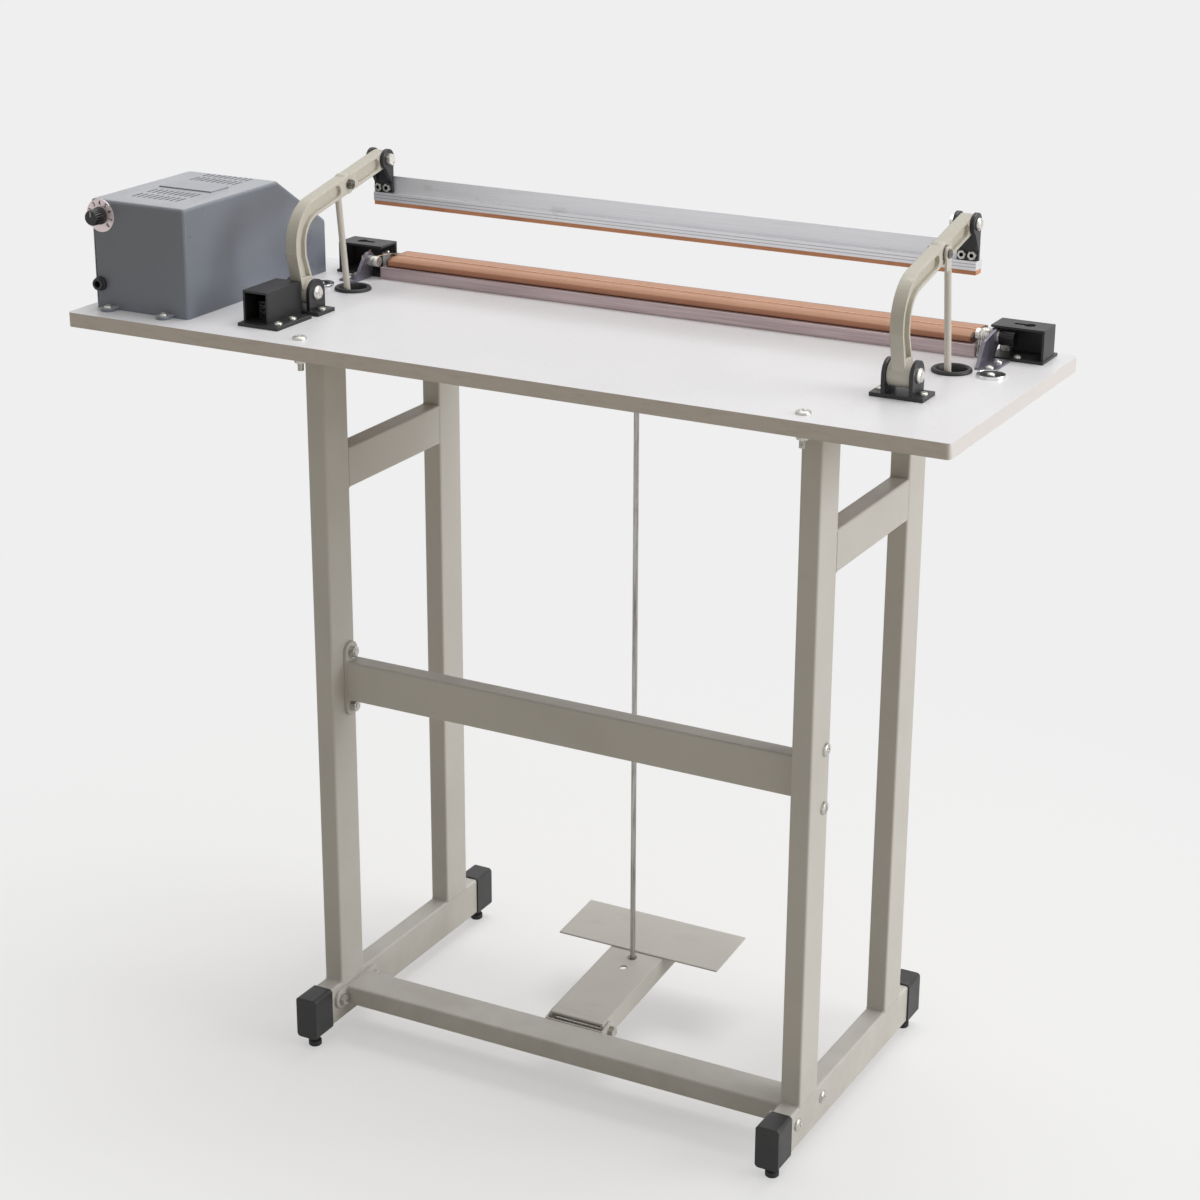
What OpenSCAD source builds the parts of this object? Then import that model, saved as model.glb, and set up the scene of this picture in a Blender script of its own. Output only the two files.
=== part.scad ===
// Pedal operated bag sealer and cutter on a tube stand, millimetres, Z up.
// Y = 0 is the middle of the stand, X = 0 the middle of the table,
// the operator stands on the +Y side and the hinges are on the -Y side.

/* [Stand] */
// Height of the table top above the floor
table_top = 690; // [670:1:710]
// Spacing of the two side frames, centre to centre
frame_span = 480; // [470:1:490]
// Offset of the stand from the middle of the table
stand_x = 52.5; // [48:0.5:56]
// Narrow side of the stand tube
tube_w = 19; // [18:0.5:20]
// Wide side of the stand tube
tube_d = 38; // [36:0.5:40]
// Wall of the stand tube
tube_wall = 1.5; // [1.2:0.1:2]
// Spacing of the near and far legs, centre to centre
leg_span = 195; // [190:1:200]
// Length of a base tube without its caps
base_len = 324; // [318:1:330]
// Underside of the base tubes above the floor
base_lift = 14.3; // [13:0.1:18]
// Height of the side rail's middle above the floor
side_rail_h = 558.5; // [540:0.5:565]
// Thickness of the flat bars under the table
top_bar_t = 3; // [2.5:0.5:4]
// Width of the flat bars under the table
top_bar_w = 20; // [19:0.5:24]
// Near end of the flat bars
top_bar_near = 146; // [143:1:152]
// Far end of the flat bars
top_bar_far = 136; // [134:1:140]
// Height of the stretcher's middle above the floor
stretcher_h = 357.2; // [340:0.1:370]
// Distance of the stretcher from the stand's middle
stretcher_y = 88; // [86:0.5:90]
// Height of the lower rail's middle above the floor
rail_h = 38; // [37:0.5:40]
// Distance of the lower rail from the near end of the base tubes
rail_in = 68; // [66:0.5:70]
// Length of an end plate
plate_len = 72; // [72:1:76]
// Thickness of an end plate
plate_t = 3; // [2:0.5:4]
// Spacing of the two bolts in an end plate
plate_bolts = 54; // [53:0.5:56]
// Radius of the stand bolts
bolt_r = 3; // [2.5:0.1:3.5]
// Radius of the stand bolt heads
bolt_head_r = 6; // [5.5:0.1:6.5]
// Thickness of the stand bolt heads
bolt_head_t = 3.2; // [2.5:0.1:4]
// Wall of the plastic tube caps
cap_wall = 1.7; // [1.2:0.1:2.2]
// End thickness of the plastic tube caps
cap_end = 2.1; // [1.6:0.1:2.6]
// Length of the plastic tube caps
cap_len = 28; // [24:1:32]
// Radius of the foot glides
glide_r = 6.25; // [5:0.25:8]
// Distance of a glide from the cap's outer end
glide_in = 13; // [11:0.5:16]

/* [Table] */
// Width of the table
table_w = 851; // [845:1:860]
// Depth of the table
table_d = 300; // [298:1:306]
// Thickness of the table
table_t = 13.2; // [12:0.1:16]
// Offset of the table's middle toward the near side
table_y = 8; // [6:0.5:10]
// Corner radius of the table
table_r = 4; // [2:0.5:8]
// Near table bolts from the stand's middle
bolt_near = 136; // [133:0.5:140]
// Far table bolts from the stand's middle
bolt_far = 126; // [124:0.5:128]
// Inner radius of the rod grommets
grommet_in = 13; // [12:0.5:13.5]
// Neck radius of the rod grommets
grommet_neck = 15; // [14.5:0.1:15.5]
// Flange radius of the rod grommets
grommet_r = 17.5; // [16.5:0.1:18]
// Flange height of the rod grommets
grommet_t = 3; // [2:0.5:4]
// Distance of the grommets from the stand's middle
grommet_y = 42.5; // [41.5:0.5:43.5]
// Radius of the cap discs
disc_r = 12.5; // [11:0.5:13]
// Height of the cap discs
disc_t = 3; // [2:0.5:4]
// Distance of the cap discs from the middle of the head
disc_x = 334; // [333:0.1:336]
// Radius of the table screws
screw_r = 1.75; // [1.5:0.05:2]
// Head radius of the table screws
screw_head_r = 3.6; // [3.2:0.1:4]
// Head height of the table screws
screw_head_t = 2.2; // [1.8:0.1:2.6]
// Depth of a table screw in the table
screw_bite = 9; // [7:0.5:10]

/* [Control box] */
// Width of the control box
box_w = 103; // [100:1:105]
// Left side of the control box from the table's middle
box_x = 415; // [412:1:418]
// Near face of the control box from the stand's middle
box_near = 129; // [126:1:131]
// Length of the control box
box_len = 223; // [220:1:228]
// Height of the control box
box_h = 100; // [98:1:106]
// Height of the control box at the operator's end
box_low_h = 50; // [48:1:54]
// Length of the sloped operator's end
slope_len = 77; // [74:1:80]
// Sheet thickness of the control box
box_wall = 1.2; // [1:0.1:1.6]
// Louvre slots in a row
louvre_n = 9; // [7:1:9]
// Length of a louvre slot
louvre_len = 16; // [12:0.5:17]
// Width of a louvre slot
louvre_w = 2; // [1.5:0.1:2.6]
// Spacing of the louvre slots
louvre_pitch = 6; // [5:0.1:6.4]
// Height of the dial above the table
dial_h = 85.5; // [82:0.5:86]
// Distance of the dial from the left side of the box
dial_in = 11; // [10:0.5:14]
// Radius of the dial plate
dial_r = 15; // [12:0.5:16]
// Radius of the timer knob
knob_r = 8; // [7:0.1:9]
// Length of the timer knob
knob_len = 13; // [11:0.5:18]
// Height of the lead gland above the table
gland_h = 22.7; // [20:0.1:28]
// Flange radius of the lead gland
gland_r = 6.5; // [6:0.1:7.5]
// Bore radius of the lead gland
gland_bore = 3; // [2.5:0.1:3.5]

/* [Press] */
// Middle of the press from the middle of the table
head_x = 50; // [49:0.5:51]
// Spacing of the two arms, centre to centre
arm_span = 582; // [581:0.5:583]
// Thickness of an arm
arm_t = 11.5; // [11:0.1:12]
// Depth of an arm
arm_d = 16; // [15:0.1:16.5]
// Rim left round the arm pockets
arm_rim = 2.6; // [2.4:0.1:3.4]
// Web left between the arm pockets
arm_web = 4; // [3:0.1:5]
// Hinge axis from the stand's middle
hinge_y = 49; // [48:0.5:50]
// Hinge axis above the table
hinge_h = 18.5; // [18:0.1:20]
// Radius of the arm hub
hub_r = 11; // [10.5:0.1:11.5]
// Width of the arm hub
hub_w = 20.4; // [19.6:0.1:20.6]
// Radius of the hinge pin
pin_r = 4; // [3.5:0.1:4.5]
// Gap between the hinge ears
ear_gap = 20.9; // [20.9:0.1:21.5]
// Thickness of a hinge ear
ear_t = 3.5; // [3:0.1:4]
// Radius of a hinge ear
ear_r = 12.5; // [12:0.1:13]
// Bend centre of the arm from the hinge axis
bend_dy = 21.5; // [21:0.1:22]
// Bend centre of the arm above the hinge axis
bend_dz = 43.5; // [43:0.1:44.5]
// Centre line radius of the arm's bend
bend_r = 32; // [31:0.1:33]
// Rise of the arm's straight part in degrees
arm_slope = 11.8; // [11:0.1:12.5]
// Rod pin from the end of the bend
rod_at = 55.2; // [54.8:0.1:56]
// Tip axis from the end of the bend
tip_at = 118.6; // [118:0.1:119.5]
// Radius of the rod pin boss
boss_r = 9; // [8.6:0.1:9.5]
// Radius of the rod pins and tip bolts
joint_r = 3; // [2.6:0.1:3.2]
// Running gap of pins in their bores
run_gap = 0.05; // [0.03:0.01:0.08]
// Side gap between parts that swing past each other
side_gap = 0.3; // [0.25:0.05:0.4]

/* [Upper jaw] */
// Reach of the jaws past the middles of the arms
jaw_over = 9; // [7:0.5:10]
// Drop from the tip axis to the jaw foot
jaw_drop = 40.6; // [39.5:0.1:41]
// Thickness of the jaw foot
foot_t = 8; // [7:0.1:8.5]
// Depth of the jaw foot
foot_d = 14.5; // [14.5:0.5:17]
// Thickness of the jaw web
web_t = 3; // [2.5:0.1:3.5]
// Height of the jaw web above the foot
web_h = 15.5; // [15:0.5:18]
// Depth of the pressure pad
pad_d = 12.5; // [12:0.5:13]
// Thickness of the pressure pad
pad_t = 4; // [3:0.1:4]
// Thickness of the tip bracket's plate
tip_plate_t = 3; // [2.5:0.1:3]
// Radius of the tip bracket's ears
tip_ear_r = 9.5; // [9:0.1:10]
// Thickness of the tip bracket's ears
tip_ear_t = 3.5; // [3:0.1:4]

/* [Lower jaw] */
// Depth of the lower jaw's base channel
base_d = 46; // [45:1:47]
// Height of the lower jaw's base channel
base_h = 11; // [10:0.1:11]
// Wall of the lower jaw's base channel
base_wall = 3; // [2:0.1:3.5]
// Distance of the base channel from the stand's middle
base_y = 92; // [91:0.5:93]
// Depth of the jaw block
block_d = 37; // [36:0.5:38]
// Height of the jaw block
block_h = 7.7; // [7:0.1:7.7]
// Thickness of the cloth cover
cloth_t = 0.4; // [0.3:0.05:0.4]
// Width of the sealing ribbon
ribbon_w = 5; // [3:0.5:6]
// Thickness of the sealing ribbon
ribbon_t = 0.3; // [0.2:0.05:0.4]
// Radius of the cutting wire
wire_r = 0.3; // [0.25:0.05:0.35]
// Height of the end housings
house_h = 29; // [28:0.5:31]
// Length of the end housings
house_len = 48; // [46:1:50]
// Wall of the black housings
house_wall = 2; // [1.6:0.1:2.2]
// Radius of the tension knob
tension_r = 7; // [6.5:0.1:7.5]

/* [Pull linkage] */
// Radius of the two pull rods
pull_r = 3; // [2.5:0.1:3.2]
// Radius of the centre rod
rod_r = 2.5; // [2:0.1:2.8]
// Yoke axis from the stand's middle
yoke_y = 41; // [40:0.5:42]
// Yoke axis below the table top
yoke_drop = 62; // [60:0.5:64]
// Depth of the yoke bar
yoke_d = 25; // [22:1:28]
// Thickness of the yoke bar
yoke_t = 6; // [5:0.5:6]
// Pedal axis in front of the lower rail's middle
pedal_ahead = 34; // [33:0.5:35]
// Pedal axis above the floor
pedal_h = 42; // [41.5:0.1:43]
// Rise of the pedal arm in degrees
pedal_rise = 5.5; // [5:0.1:6]
// Width of the pedal arm
pedal_w = 56; // [50:1:60]
// Height of the pedal arm's sides
pedal_side = 19; // [17:0.5:19]
// Sheet thickness of the pedal
pedal_t = 2; // [1.5:0.1:2.5]
// Width of the treadle plate
treadle_w = 172; // [150:1:180]
// Depth of the treadle plate
treadle_d = 66; // [60:1:80]
// Thickness of the treadle plate
treadle_t = 1.5; // [1.2:0.1:2.5]

/* [Hidden] */
// Facets of a circle, read as a true circle
$fn = 48;
// Sides of a nut
hex = 6;
// Overrun of a cut past the face it opens
eps = 1;

// Stand
fx = [stand_x - frame_span / 2, stand_x + frame_span / 2];
table_z = table_top - table_t;
leg_top = table_z - top_bar_t;
base_top = base_lift + tube_d;
rail_y = base_len / 2 - rail_in;
tube_r = 2;
bolt_gap = 0.2;
nut_t = 5;
nut_r = 5.5;
inner_x = frame_span / 2 - tube_w / 2;
// Heads: share of the height that is upright and share of the radius on top
head_land = 0.45;
head_face = 0.75;

// Table
table_c = -table_y;
grommet_x = arm_span / 2 + arm_t / 2 + 2;
bolt_dome_r = 6.5;
bolt_dome_t = 3.2;
bolt_tail = 12;
disc_y = 41.5;
disc_rim = 2;
disc_boss = 4;

// Arms
ax = [head_x - arm_span / 2, head_x + arm_span / 2];
hy = -hinge_y;
hz = table_top + hinge_h;
by = hy + bend_dy;
bz = hz + bend_dz;
ey = by - bend_r * sin(arm_slope);
ez = bz + bend_r * cos(arm_slope);
ry = ey + rod_at * cos(arm_slope);
rz = ez + rod_at * sin(arm_slope);
ty = ey + tip_at * cos(arm_slope);
tz = ez + tip_at * sin(arm_slope);
low_near = by - bend_r - arm_d / 2;
low_far = by - bend_r + arm_d / 2;
knee_near = hz + 36.5;
knee_far = hz + 33.5;
pocket_low = hz + 14.5;
pocket_r = arm_d / 2 - arm_rim;
arc_steps = 14;
root_w = hub_r - 1.5;
rod_stop = 19;
tip_stop = 16;
spring_r = 8;
spring_deep = 6;
spring_wire = 0.65;
spring_pitch = 1.25;
spring_n = 4;
hinge_w = 47;
hinge_d = 27;
hinge_t = 3.5;
hinge_screw = 18.7;
pin_head_r = 6.5;
pin_head_t = 3;
pin_tail = 2;
clip_t = 1.5;
clip_r = 5.5;
washer_t = 0.9;
washer_r = 7;
eye_t = 2;
eye_gap = 0.1;
eye_x = arm_t / 2 + washer_t + eye_gap;
pin_cap_r = 4;
pin_cap_t = 2.2;
pin_nut_r = 4.6;
joint_head_r = 5.5;
joint_head_t = 3.2;
joint_nut_t = 4;
tip_gap = 0.5;
tip_in = arm_t / 2 + tip_gap;
tip_out = tip_in + tip_ear_t;
tip_notch = 4;
tip_gusset = 9;

// Upper jaw
jx = [ax[0] - jaw_over, ax[1] + jaw_over];
foot_z = tz - jaw_drop;
foot_top = foot_z + foot_t;
plate_y = ty + 5;
web_y = plate_y + tip_plate_t;
foot_y = web_y - 6;
pad_y = foot_y + (foot_d - pad_d) / 2;
fillet_r = 4.5;
plate_top = tz - 7.6;
jaw_bolt_r = 2;
jaw_bolt_x = 4.6;
jaw_bolt_z = foot_top + 4.6;
jaw_nut_r = 4;
jaw_nut_t = 3;
slot_w = 1.8;
slot_t = 0.9;
// Swing of the arms that closes the jaws, and the far shift of the jaw in it
close_a = 21;
jaw_shift = (ty - hy) * cos(close_a) + (tz - hz) * sin(close_a) - (ty - hy);

// Lower jaw
base_z = table_top + base_h;
block_y = base_y + 5;
block_z = base_z + block_h;
bevel_y = 5;
bevel_z = 2.4;
cloth_low = 1;
block_in = 4;
cloth_in = 6;
cloth_z = block_z + cloth_t;
seal_y = block_y + 24.5;
wire_y = block_y + 17.5;
wire_z = cloth_z + wire_r;
wire_bead = wire_r + 0.05;

// End housings and terminals
left_reach = 12;
right_reach = 20;
left_x = ax[0] - left_reach;
right_x = ax[1] + right_reach;
house_y = base_y + 7;
house_d = 28;
flange_t = 2.5;
flange_near = 3;
flange_far = 7;
flange_end = 1;
key_r = 5;
key_w = 4.5;
key_len = 14;
key_at = 18;
house_screw = [24.5, 2.5];
post_w = 8;
post_in = 3;
post_d = 6;
post_head_t = 1.6;
term_y = house_y + 4;
term_z = table_top + 18.5;
term_x = right_x + 3;
term_t = 3;
term_r = 8.2;
term_base = 18;
term_near = [55.5, 65];
term_far = 93;
term_rake = 16;
term_neck = 2.5;
term_left = left_x - 11;
term_screw_x = 12;
term_screw_y = [[59.5, 80], [72, 87]];
left_term_y = term_y - 12;
left_term_z = term_z - 2;
stud_r = 2.5;
stud_tip = 0.4;
stud_end = 3;
spool_r = 6;
spool_neck = 4;
clamp_w = 2.6;
clamp_r = 5;
spool_t = 11;
collar_r = 7.3;
collar_t = 3;
cap_t = 1.7;
washer_gap = 0.9;
wire_gap = 0.7;
stud_nut_r = 5;
stud_nut_t = 3;
wire_x = term_x - spool_t - washer_gap - wire_gap / 2;
stack_x = term_x - spool_t - 2 * washer_gap - wire_gap;
tension_x = right_x + 8.5;
tension_len = 13;
tension_land = 2;
tension_flute = 0.72;

// Switch housing
sw_x = [ax[0] - 20, ax[0] + 6.5];
sw_y = [-116, hy - 14.5];
sw_h = 31;
sw_flange_x = [ax[0] - 21, ax[0] + 21.5];
sw_flange_y = [-124, hy - 21];
sw_flange_t = 3;
sw_screw_x = 14.5;
sw_screw_y = [-112, -90];
micro_x = [sw_x[0] + 7, sw_x[0] + 17];
micro_y = [-102, -82];
micro_h = 16;
button = [3, 9, 12];
tabs = [3, 8, 13];
tab = [4, 0.8];

// Control box
bx = [-box_x, box_w - box_x];
box_far = box_len - box_near;
box_z = table_top + box_h;
slope_y = box_far - slope_len;
slope_a = atan((box_h - box_low_h) / slope_len);
lug_r = 7;
lug_reach = 6;
lug_t = 3;
lug_x = [bx[0] + 18, bx[1] - 23];
dial_x = bx[0] + dial_in;
dial_z = table_top + dial_h;
dial_t = 1;
pot_r = 8;
pot_t = 12;
bush_r = 4.5;
bush_out = 1.5;
shaft_r = 3;
shaft_deep = 9;
knob_gap = 0.5;
knob_face = 0.9;
flute_r = 0.9;
flute_n = 18;
gland_x = bx[0] + 6.8;
gland_neck = 4.8;
gland_len = 6;
gland_step = 3;
core_in = 20;
core_y = [-78, -38];
core_h = 54;
coil_in = 30;
coil_y = [-90, -26];
coil_h = [8, 46];
board_posts = [0, 62];
board_post_r = 3;
board_in = 14;
board_y = [-6, 68];
board_low = 8;
board_high = 9.6;
relay_x = [26, 42];
relay_y = [10, 38];
relay_h = 25;
can_at = [34, 24];
can_r = 6;
can_h = 20;
rect = [58, 27, 1];
rect_y = -43;
louvre_y = [-96, -74, -9, 11];
louvre_r = louvre_w / 2 - 0.01;
switch_at = [bx[1] - 30, 44];
lamp_at = [bx[0] + 27, 44];
sw_body = [16, 24, 15];
sw_cell = [13, 21, 11];
sw_bezel = [22, 30, 2.5];
sw_round = 2;
rock_w = 12.4;
rock_half = 9.8;
rock_high = 2.6;
rock_mid = 1.2;
rock_low = 2;
rock_pin = 1.2;
rock_tilt = 7;
rock_end = 0.8;
lamp_r = 4;
lamp_bezel = 6;
lamp_bezel_t = 2;
lamp_high = 4;
lamp_deep = 12;

// Pull linkage
yoke_z = table_top - yoke_drop;
pedal_y = rail_y - pedal_ahead;
rod_x = arm_span / 2 + eye_x + eye_t / 2;
rod_lean = atan2(yoke_y - ry, rz - yoke_z);
rod_len = norm([yoke_y - ry, rz - yoke_z]);
yoke_up = 13;
yoke_end = 11;
yoke_r = 3;
eye_r = 6;
neck_w = 10;
neck_len = 15;
rod_nut_r = 4.6;
pull_nut_r = 5.5;
rod_nut_t = 4;
rod_tail = 9;
clevis_gap = 12.4;
clevis_t = 3;
clevis_r = 7;
link_eye = 6.5;
link_w = 12;
pedal_top = 11.6;
pedal_back = 9;
pedal_len = 140.6;
hole_r = 4.5;
bracket_t = 2;
bracket_ear = 9;
pedal_gap = 0.5;
pedal_pin_r = 4;
pedal_head_r = 5.5;
pedal_head_t = 2.5;
treadle_at = 114.5;
treadle_r = 1;
// Rod's low end, and the rod hole a little nearer than it
low_y = 44;
hole_near = 0.894;
rod_hole = (low_y - hole_near + pedal_y + pedal_top * sin(pedal_rise)) / cos(pedal_rise);
spare_r = 3.5;
spare_hole = rod_hole - 19;
end_z = pedal_to_z(rod_hole, pedal_top - pedal_t);
rod_swing = atan2(low_y - yoke_y, yoke_z - end_z);
nut_drop = 1.9;
end_washer_r = 7;
end_washer_t = 1.2;
end_tail = 3;
nut_at = (yoke_z - end_z) / cos(rod_swing) + nut_drop;

// Screws into the table: [x, y, height of the clamped part]
hinge_spots = [for (x = ax, s = [-1, 1]) [x + s * hinge_screw, hy, hinge_t]];
switch_spots = [for (y = sw_screw_y) [ax[0] + sw_screw_x, y, sw_flange_t]];
house_spots = [[left_x - house_screw[0], house_y + house_screw[1], flange_t],
               [right_x + house_screw[0], house_y + house_screw[1], flange_t]];
term_spots = [for (y = term_screw_y[0]) [term_x + term_screw_x, y, term_t - 1],
              for (y = term_screw_y[1]) [term_left + term_t - term_screw_x, y, term_t - 1]];
lug_spots = [for (x = lug_x) [x, -box_near - lug_reach, lug_t]];
spots = concat(hinge_spots, switch_spots, house_spots, term_spots, lug_spots);

function pedal_to_z(u, v) = pedal_h + u * sin(pedal_rise) + v * cos(pedal_rise);

// Shapes shared by several parts

// Box between two corners
module block(x, y, z) {
    translate([x[0], y[0], z[0]])
        cube([x[1] - x[0], y[1] - y[0], z[1] - z[0]]);
}

// Outline in Y and Z drawn out along X
module along_x(x) {
    translate([x[0], 0, 0])
        rotate([90, 0, 90])
            linear_extrude(x[1] - x[0])
                children();
}

// Round bar along X
module bar_x(x, y, z, r) {
    translate([x[0], y, z])
        rotate([0, 90, 0])
            cylinder(r = r, h = x[1] - x[0]);
}

// Round bar along Y
module bar_y(x, y, z, r) {
    translate([x, y[0], z])
        rotate([-90, 0, 0])
            cylinder(r = r, h = y[1] - y[0]);
}

// Centred rectangle with round corners
module round_rect(w, d, r) {
    square([w - 2 * r, d], center = true);
    square([w, d - 2 * r], center = true);
    for (x = [-1, 1], y = [-1, 1])
        translate([x * (w / 2 - r), y * (d / 2 - r)])
            circle(r);
}

// Tube outline with round corners
module tube_2d(w, d) {
    difference() {
        round_rect(w, d, tube_r);
        square([w - 2 * tube_wall, d - 2 * tube_wall], center = true);
    }
}

// Head of a screw or bolt standing on Z = 0
module head(r, t) {
    rotate_extrude()
        polygon([[0, 0], [r, 0], [r, t * head_land], [r * head_face, t], [0, t]]);
}

// Head lying on a face across X, s is the side it looks to
module head_on_x(x, y, z, s, r, t) {
    translate([x, y, z])
        rotate([0, s * 90, 0])
            head(r, t);
}

// Nut lying on a face across X
module nut_on_x(x, y, z, s, r, t) {
    translate([x, y, z])
        rotate([0, s * 90, 0])
            cylinder(r = r, h = t, $fn = hex);
}

// Stand

module leg(x, y) {
    translate([x, y, base_top])
        linear_extrude(leg_top - base_top)
            tube_2d(tube_w, tube_d);
}

module near_leg(x) {
    color("tan")
    difference() {
        leg(x, -leg_span / 2);
        for (s = [-1, 1])
            bar_x([x - tube_w, x + tube_w], -stretcher_y,
                  stretcher_h + s * plate_bolts / 2, bolt_r + bolt_gap);
    }
}

module far_leg(x) {
    color("tan")
    leg(x, leg_span / 2);
}

module leg_left_near() {
    near_leg(fx[0]);
}

module leg_left_far() {
    far_leg(fx[0]);
}

module leg_right_near() {
    near_leg(fx[1]);
}

module leg_right_far() {
    far_leg(fx[1]);
}

module base_tubes() {
    color("tan")
    for (x = fx)
        difference() {
            translate([x, base_len / 2, base_lift + tube_d / 2])
                rotate([90, 0, 0])
                    linear_extrude(base_len)
                        tube_2d(tube_w, tube_d);
            for (s = [-1, 1])
                bar_x([x - tube_w, x + tube_w], -rail_y + s * plate_bolts / 2,
                      rail_h, bolt_r + bolt_gap);
        }
}

module side_rails() {
    color("tan")
    for (x = fx)
        translate([x, leg_span / 2 - tube_d / 2, side_rail_h])
            rotate([90, 0, 0])
                linear_extrude(leg_span - tube_d)
                    tube_2d(tube_w, tube_d);
}

module top_bars() {
    color("tan")
    for (x = fx)
        difference() {
            block([x - top_bar_w / 2, x + top_bar_w / 2],
                  [-top_bar_near, top_bar_far], [leg_top, table_z]);
            for (y = [-bolt_near, bolt_far])
                translate([x, y, leg_top - eps])
                    cylinder(r = bolt_r + bolt_gap, h = top_bar_t + 2 * eps);
        }
}

module cross_tube(y, z, w, d) {
    translate([stand_x - inner_x + plate_t, y, z])
        rotate([90, 0, 90])
            linear_extrude(2 * inner_x - 2 * plate_t)
                tube_2d(w, d);
}

// Stretcher between the near legs and lower rail between the base tubes
module cross_tubes() {
    color("tan") {
        cross_tube(-stretcher_y, stretcher_h, tube_w, tube_d);
        cross_tube(-rail_y, rail_h, tube_d, tube_w);
    }
}

module plate_2d() {
    difference() {
        round_rect(tube_w, plate_len, tube_w / 2 - eps);
        for (s = [-1, 1])
            translate([0, s * plate_bolts / 2])
                circle(bolt_r + bolt_gap);
    }
}

module end_plates() {
    color("tan")
    for (x = [stand_x - inner_x, stand_x + inner_x - plate_t]) {
        translate([x, -stretcher_y, stretcher_h])
            rotate([90, 0, 90])
                linear_extrude(plate_t)
                    plate_2d();
        translate([x, -rail_y, rail_h])
            rotate([90, 0, 90])
                linear_extrude(plate_t)
                    rotate(90)
                        plate_2d();
    }
}

module stand_bolt(s, y, z) {
    out = stand_x + s * (inner_x + tube_w);
    inn = stand_x + s * (inner_x - plate_t);
    head_on_x(out, y, z, s, bolt_head_r, bolt_head_t);
    bar_x([min(out, inn - s * nut_t), max(out, inn - s * nut_t)], y, z, bolt_r);
    nut_on_x(inn, y, z, -s, nut_r, nut_t);
}

module stand_bolts() {
    color("silver")
    for (s = [-1, 1], k = [-1, 1]) {
        stand_bolt(s, -stretcher_y, stretcher_h + k * plate_bolts / 2);
        stand_bolt(s, -rail_y + k * plate_bolts / 2, rail_h);
    }
}

module tube_caps() {
    cap_w = tube_w + 2 * cap_wall;
    cap_d = tube_d + 2 * cap_wall;
    color("black")
    for (x = fx, s = [0, 1])
        mirror([0, s, 0])
            difference() {
                translate([x, base_len / 2 + cap_end, base_lift + tube_d / 2])
                    rotate([90, 0, 0])
                        linear_extrude(cap_len)
                            round_rect(cap_w, cap_d, tube_r + cap_wall);
                translate([x, base_len / 2, base_lift + tube_d / 2])
                    rotate([90, 0, 0])
                        linear_extrude(cap_len)
                            round_rect(tube_w, tube_d, tube_r);
            }
}

module foot_glides() {
    color("black")
    for (x = fx, s = [-1, 1])
        translate([x, s * (base_len / 2 + cap_end - glide_in), 0])
            cylinder(r = glide_r, h = base_lift - cap_wall);
}

// Table

module table_top_board() {
    color("white")
    difference() {
        translate([0, table_c, table_z])
            linear_extrude(table_t)
                round_rect(table_w, table_d, table_r);
        for (s = [-1, 1])
            translate([head_x + s * rod_x, grommet_y, table_z - eps])
                cylinder(r = grommet_neck, h = table_t + 2 * eps);
        for (x = fx, y = [-bolt_near, bolt_far])
            translate([x, y, table_z - eps])
                cylinder(r = bolt_r + bolt_gap, h = table_t + 2 * eps);
        for (p = spots)
            translate([p[0], p[1], table_top - screw_bite])
                cylinder(r = screw_r, h = screw_bite + eps);
    }
}

module table_bolts() {
    color("silver")
    for (x = fx, y = [-bolt_near, bolt_far]) {
        translate([x, y, table_top])
            head(bolt_dome_r, bolt_dome_t);
        translate([x, y, leg_top - bolt_tail])
            cylinder(r = bolt_r, h = table_top - leg_top + bolt_tail);
        translate([x, y, leg_top - nut_t])
            cylinder(r = nut_r, h = nut_t, $fn = hex);
    }
}

module rod_grommets() {
    color("black")
    for (s = [-1, 1])
        translate([head_x + s * rod_x, grommet_y, table_top])
            rotate_extrude()
                polygon([[grommet_in, -table_t], [grommet_neck, -table_t],
                         [grommet_neck, 0], [grommet_r, 0],
                         [grommet_r, grommet_t / 2], [grommet_r - 1, grommet_t],
                         [grommet_in + 1, grommet_t], [grommet_in, grommet_t / 2]]);
}

module table_discs() {
    color("black")
    for (s = [-1, 1])
        translate([head_x + s * disc_x, disc_y, table_top])
            rotate_extrude()
                polygon([[0, 0], [disc_r, 0], [disc_r, disc_t / 2],
                         [disc_r - 1, disc_t], [disc_r - disc_rim, disc_t],
                         [disc_r - disc_rim, disc_t / 2], [disc_boss, disc_t / 2],
                         [disc_boss, disc_t], [0, disc_t]]);
}

// Control box

// Side outline of the box, in by a wall thickness
module box_2d(w) {
    drop = w * tan(slope_a / 2);
    polygon([[-box_near + w, table_top - (w > 0 ? eps : 0)],
             [-box_near + w, box_z - w],
             [slope_y - drop, box_z - w],
             [box_far - w, table_top + box_low_h + w * tan(slope_a) - w / cos(slope_a)],
             [box_far - w, table_top - (w > 0 ? eps : 0)]]);
}

// Place children on the slope: local Y down the slope, local Z out of it
module on_slope(p) {
    translate([p[0], slope_y, box_z])
        rotate([-slope_a, 0, 0])
            translate([0, p[1], 0])
                children();
}

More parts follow.
